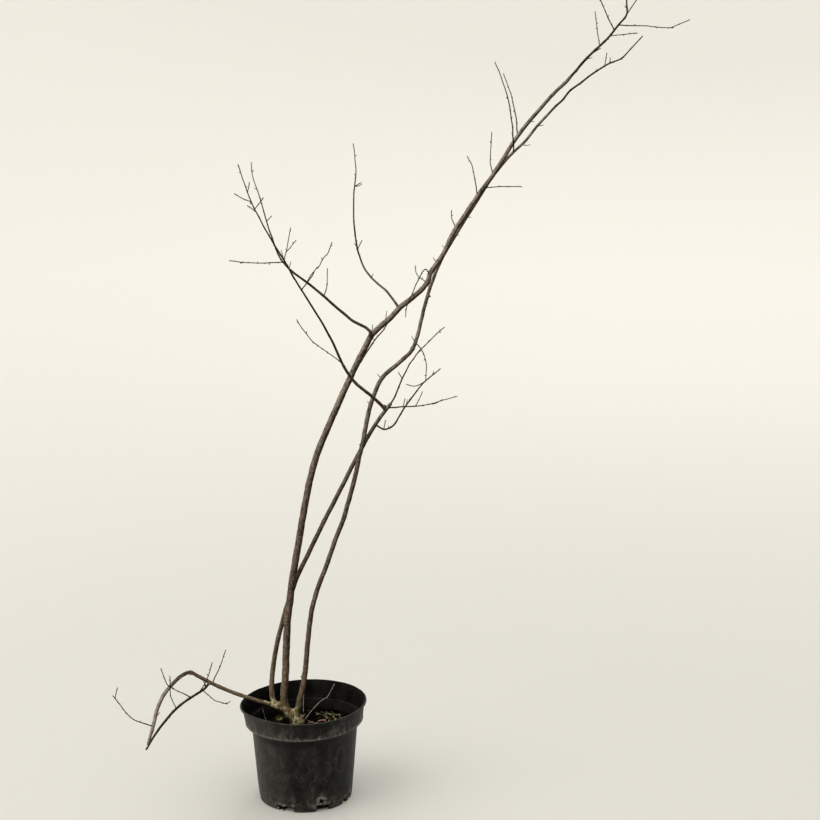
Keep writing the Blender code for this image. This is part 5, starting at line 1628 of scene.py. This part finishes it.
def add_twiglets(pile, buds, path, source):
    """The finest twigs: short and thin, between the spurs."""
    along = lengths_along(path)
    frames = frames_along(path)
    place = source.uniform(*TWIGLET_SPACING)
    turn = source.uniform(0.0, 360.0)
    while place < along[-1] - 1.0:
        number = int(np.searchsorted(along, place))
        heading, side, other = frames[number]
        outward = math.cos(math.radians(turn)) * side + math.sin(math.radians(turn)) * other
        length = source.uniform(*TWIGLET_LENGTH)
        add_spur(pile, buds, point_at(path, place), length * unit(heading + outward), TWIGLET_RADIUS, source)
        turn += SPUR_TURN
        place += source.uniform(*TWIGLET_SPACING)


# Small things on the soil

def build_stalk(surface):
    """A dead pale stalk that lies from the soil up to the back rim, and a thin dry twig."""
    pile = Pile()
    stalk = smooth_path([(0.0, 1.8, 13.35), (0.85, 2.7, 14.35), (1.82, 3.6, 15.24), (2.89, 4.8, 15.98),
                         (3.84, 5.8, 16.21), (4.64, 7.0, 17.27), (5.2, 8.0, 18.1)], 0.2)
    pile.add(*bark_tube(stalk, radii_along(stalk, (0.055, 0.055, 0.05, 0.06, 0.04, 0.032)), 10, 801, 0.06,
                        0.0, ((6.9, 0.0),)))
    twig = smooth_path([(-0.6, 6.0, 13.2), (-0.6, 6.3, 15.2), (-0.45, 6.8, 17.5)], 0.2)
    pile.add(*bark_tube(twig, radii_along(twig, (0.06, 0.045)), 8, 802, 0.05))
    return pile.piece("dry_stalk", surface, "twigs")


def blade(start, heading, length, width, droop, across=None):
    """A thin tapering blade that bends over as it rises."""
    if across is None:
        across = unit(np.cross(heading, np.array([0.0, 0.0, 1.0])) + np.array([0.01, 0.0, 0.0]))
    path = []
    for share in np.linspace(0.0, 1.0, 9):
        path.append(start + heading * length * share - np.array([0.0, 0.0, droop * share ** 2]))
    vertices, faces = [], []
    for number, point in enumerate(path):
        half = width * (1.0 - (number / 8) ** 2 * 0.9)
        lift = half * 0.3 * unit(np.cross(across, heading))
        vertices += [point - across * half, point + lift, point + across * half, point - lift * 0.3]
    faces.append((3, 2, 1, 0))
    for ring in range(8):
        for number in range(4):
            low, high = ring * 4 + number, ring * 4 + (number + 1) % 4
            faces.append((low, high, high + 4, low + 4))
    faces.append((32, 33, 34, 35))
    return vertices, faces


def build_sprigs(moss, sprig, dead_grass):
    """Moss and small green sprigs on the soil, with two thin blades of dry grass."""
    source = random.Random(41)
    pile = Pile()
    for _ in range(MOSS_COUNT):
        x = -4.85 + source.gauss(0.0, 0.5)
        y = 2.9 + source.gauss(0.0, 0.75)
        heading = unit(np.array([source.gauss(0.0, 0.5), source.gauss(0.0, 0.5), 1.0]))
        pile.add(*blade(soil_point(x, y, -0.03), heading, source.uniform(0.12, 0.32), 0.02, 0.02))
    pile.piece("moss_tuft", moss, "soil")
    pile = Pile()
    for centre_x, centre_y, spread, count in SPRIG_TUFTS:
        for _ in range(count):
            x, y = centre_x + source.gauss(0.0, spread), centre_y + source.gauss(0.0, spread)
            heading = unit(np.array([source.gauss(0.0, 0.9), source.gauss(0.0, 0.9), 0.6]))
            length = source.uniform(0.3, 0.85)
            pile.add(*blade(soil_point(x, y, -0.02), heading, length, source.uniform(0.07, 0.14),
                            0.35 * length))
    pile.piece("green_sprigs", sprig, "soil")
    pile = Pile()
    for start, tip, width in (((-7.3, 2.6), (-7.98, 2.3, 15.83), 0.085),
                              ((-10.0, 4.3), (-8.3, 3.5, 15.2), 0.05)):
        foot = soil_point(*start, -0.05)
        reach = np.array(tip) - foot
        pile.add(*blade(foot, unit(reach), float(np.linalg.norm(reach)), width, 0.1,
                        np.array([0.97, -0.2, 0.1])))
    pile.piece("dry_grass", dead_grass, "soil")


def build_leaf(surface):
    """A dead leaf curled into a loop, with thin uneven edges."""
    count = 30
    centre = soil_point(3.3, -0.25, 0.32)
    pile = Pile()
    vertices, faces = [], []
    for number in range(count):
        share = number / (count - 1)
        angle = math.radians(-60.0 + 340.0 * share)
        reach = 1.0 - 0.18 * math.sin(5.0 * angle)
        across = 0.34 * math.sin(math.pi * (0.1 + 0.8 * share)) ** 0.6
        for side, thin in ((-1.0, 0.02), (0.0, 0.02), (1.0, 0.02), (1.0, -0.02), (0.0, -0.02), (-1.0, -0.02)):
            cup = 0.1 * side ** 2
            out = np.array([(0.8 + cup) * reach * math.cos(angle), 0.0, (0.4 + cup) * math.sin(angle)])
            vertices.append(centre + out * (1.0 + thin) + (0.0, across * side + 0.25 * math.cos(angle), 0.0))
    faces.append(tuple(range(6)))
    for ring in range(count - 1):
        for number in range(6):
            low, high = ring * 6 + number, ring * 6 + (number + 1) % 6
            faces.append((low, low + 6, high + 6, high))
    faces.append(tuple(reversed(range((count - 1) * 6, count * 6))))
    pile.add(vertices, faces)
    return pile.piece("curled_leaf", surface, "soil")


def build_bits(surface):
    """Pale woody bits in front of the crown."""
    source = random.Random(47)
    pile = Pile()
    for _ in range(14):
        spot = soil_point(1.5 + source.gauss(0.0, 0.6), 0.3 + source.gauss(0.0, 0.45), 0.08)
        pile.add(*crumb(source, spot, source.uniform(0.1, 0.24)))
    return pile.piece("pale_woody_bits", surface, "soil")


# Stage

def build_floor():
    """A wide pale floor that curves up far away on every side."""
    flat, far, rise = 4.6, 9.0, 5.0
    profile = [(0.0, 0.0), (1.5, 0.0), (3.0, 0.0), (flat, 0.0)]
    for angle in np.linspace(0.0, math.pi / 2, 24)[1:]:
        profile.append((flat + (far - flat) * math.sin(angle), rise * (1 - math.cos(angle))))
    segments = 96
    vertices, faces = [(0.0, 0.0, 0.0)], []
    for radius, height in profile[1:]:
        for number in range(segments):
            angle = 2 * math.pi * number / segments
            vertices.append((radius * math.cos(angle), radius * math.sin(angle), height))
    for number in range(segments):
        faces.append((0, 1 + number, 1 + (number + 1) % segments))
    for ring in range(len(profile) - 2):
        for number in range(segments):
            after = (number + 1) % segments
            low = 1 + ring * segments
            faces.append((low + number, low + segments + number, low + segments + after, low + after))
    mesh = bpy.data.meshes.new("pale_floor")
    mesh.from_pydata(vertices, [], faces)
    floor = bpy.data.objects.new("pale_floor", mesh)
    bpy.context.scene.collection.objects.link(floor)
    made = Surface("pale_floor", 0.9, 0.1)
    source = made.node("ShaderNodeVectorMath", operation="LENGTH")
    made.link(made.place((1.0, 1.0, 1.0)), source.inputs[0])
    colour = made.mix(made.span(source.outputs["Value"], 1.0, 6.5), FLOOR_COLOUR, WALL_COLOUR)
    mesh.materials.append(made.finish(colour))
    mesh.shade_smooth()


def build_light():
    """A pale world, one wide soft light high on the left, and a weak one in front on the right."""
    world = bpy.data.worlds.new("soft_sky")
    bpy.context.scene.world = world
    world.use_nodes = True
    sky = world.node_tree.nodes["Background"]
    sky.inputs["Color"].default_value = (1.0, 0.985, 0.95, 1.0)
    sky.inputs["Strength"].default_value = 0.82
    for name, place, size, power in (("key_light", (-4.2, -2.2, 5.2), 6.5, 155.0),
                                     ("back_light", (1.5, 5.0, 5.0), 4.0, 60.0)):
        data = bpy.data.lights.new(name, "AREA")
        data.shape = "DISK"
        data.size = size
        data.energy = power
        data.color = (1.0, 0.98, 0.94)
        lamp = bpy.data.objects.new(name, data)
        lamp.location = place
        aim = Vector((0.1, 0.0, 0.6)) - Vector(place)
        lamp.rotation_euler = aim.to_track_quat("-Z", "Y").to_euler()
        bpy.context.scene.collection.objects.link(lamp)
    bpy.context.scene.view_settings.view_transform = "Standard"


def build_camera():
    """The camera at the angle and distance from which the plant was seen."""
    data = bpy.data.cameras.new("camera")
    data.lens = 64.98
    data.sensor_width = 36.0
    camera = bpy.data.objects.new("camera", data)
    camera.location = (0.2138, -2.5905, 1.1624)
    camera.rotation_euler = (math.radians(90.0 - 9.692), 0.0, math.radians(0.411))
    bpy.context.scene.collection.objects.link(camera)
    bpy.context.scene.camera = camera


def main():
    limbs = grow_limbs()
    leading, spurs = grow_masses(limbs)
    stem_bark = bark_surface("stem_bark", (0.016, 0.01, 0.0062), (0.074, 0.047, 0.029),
                             (0.42, 0.37, 0.295), (0.33, 0.28, 0.225), 0.27, 0.75, 2.0)
    bough_bark = bark_surface("bough_bark", (0.009, 0.0055, 0.0035), (0.036, 0.023, 0.014),
                              (0.2, 0.172, 0.128), (0.26, 0.22, 0.17), 0.16, 0.0, 2.0)
    dark_bark = bark_surface("dark_bough_bark", (0.006, 0.004, 0.0025), (0.02, 0.0125, 0.008),
                             (0.075, 0.06, 0.043), (0.14, 0.115, 0.085), 0.1, 0.0, 2.0)
    weathered_bark = bark_surface("weathered_bark", (0.05, 0.038, 0.03), (0.19, 0.155, 0.13),
                                  (0.56, 0.49, 0.44), (0.6, 0.54, 0.48), 0.05, 0.0, 0.235)
    twig_bark = bark_surface("twig_bark", (0.008, 0.005, 0.0035), (0.026, 0.017, 0.011),
                             (0.09, 0.075, 0.056), (0.16, 0.135, 0.105), 0.1, 0.0, 2.0)
    bud_skin = plain_surface("bud_scales", (0.085, 0.05, 0.034), (0.035, 0.022, 0.016), 0.6, 900.0)
    build_pot(pot_surface(), inner_pot_surface())
    build_scratches(plain_surface("scratched_plastic", (0.21, 0.205, 0.19), (0.09, 0.09, 0.085), 0.7))
    build_soil(soil_surface())
    build_crumbs(crumb_surface())
    build_crown(limbs, crown_surface())
    buds = Pile()
    build_limbs(limbs, {"stem": stem_bark, "bough": bough_bark, "bough_left_back": dark_bark,
                        WEATHERED_LIMB: weathered_bark}, buds)
    build_masses(leading, spurs, {"twig": twig_bark, "twigs_low_front": dark_bark}, weathered_bark, buds)
    buds.piece("winter_buds", bud_skin, "twigs")
    build_stalk(plain_surface("dry_stalk", (0.6, 0.55, 0.45), (0.3, 0.26, 0.2), 0.8))
    build_sprigs(plain_surface("moss", (0.33, 0.38, 0.09), (0.05, 0.08, 0.015), 0.85, 260.0),
                 plain_surface("sprig", (0.58, 0.57, 0.32), (0.1, 0.11, 0.025), 0.7, 190.0),
                 plain_surface("dry_grass", (0.5, 0.48, 0.46), (0.3, 0.27, 0.25), 0.75))
    build_leaf(plain_surface("dead_leaf", (0.42, 0.22, 0.16), (0.05, 0.018, 0.013), 0.7, 160.0))
    build_bits(plain_surface("pale_wood", (0.4, 0.34, 0.25), (0.14, 0.11, 0.07), 0.8))
    build_floor()
    build_light()
    build_camera()


main()
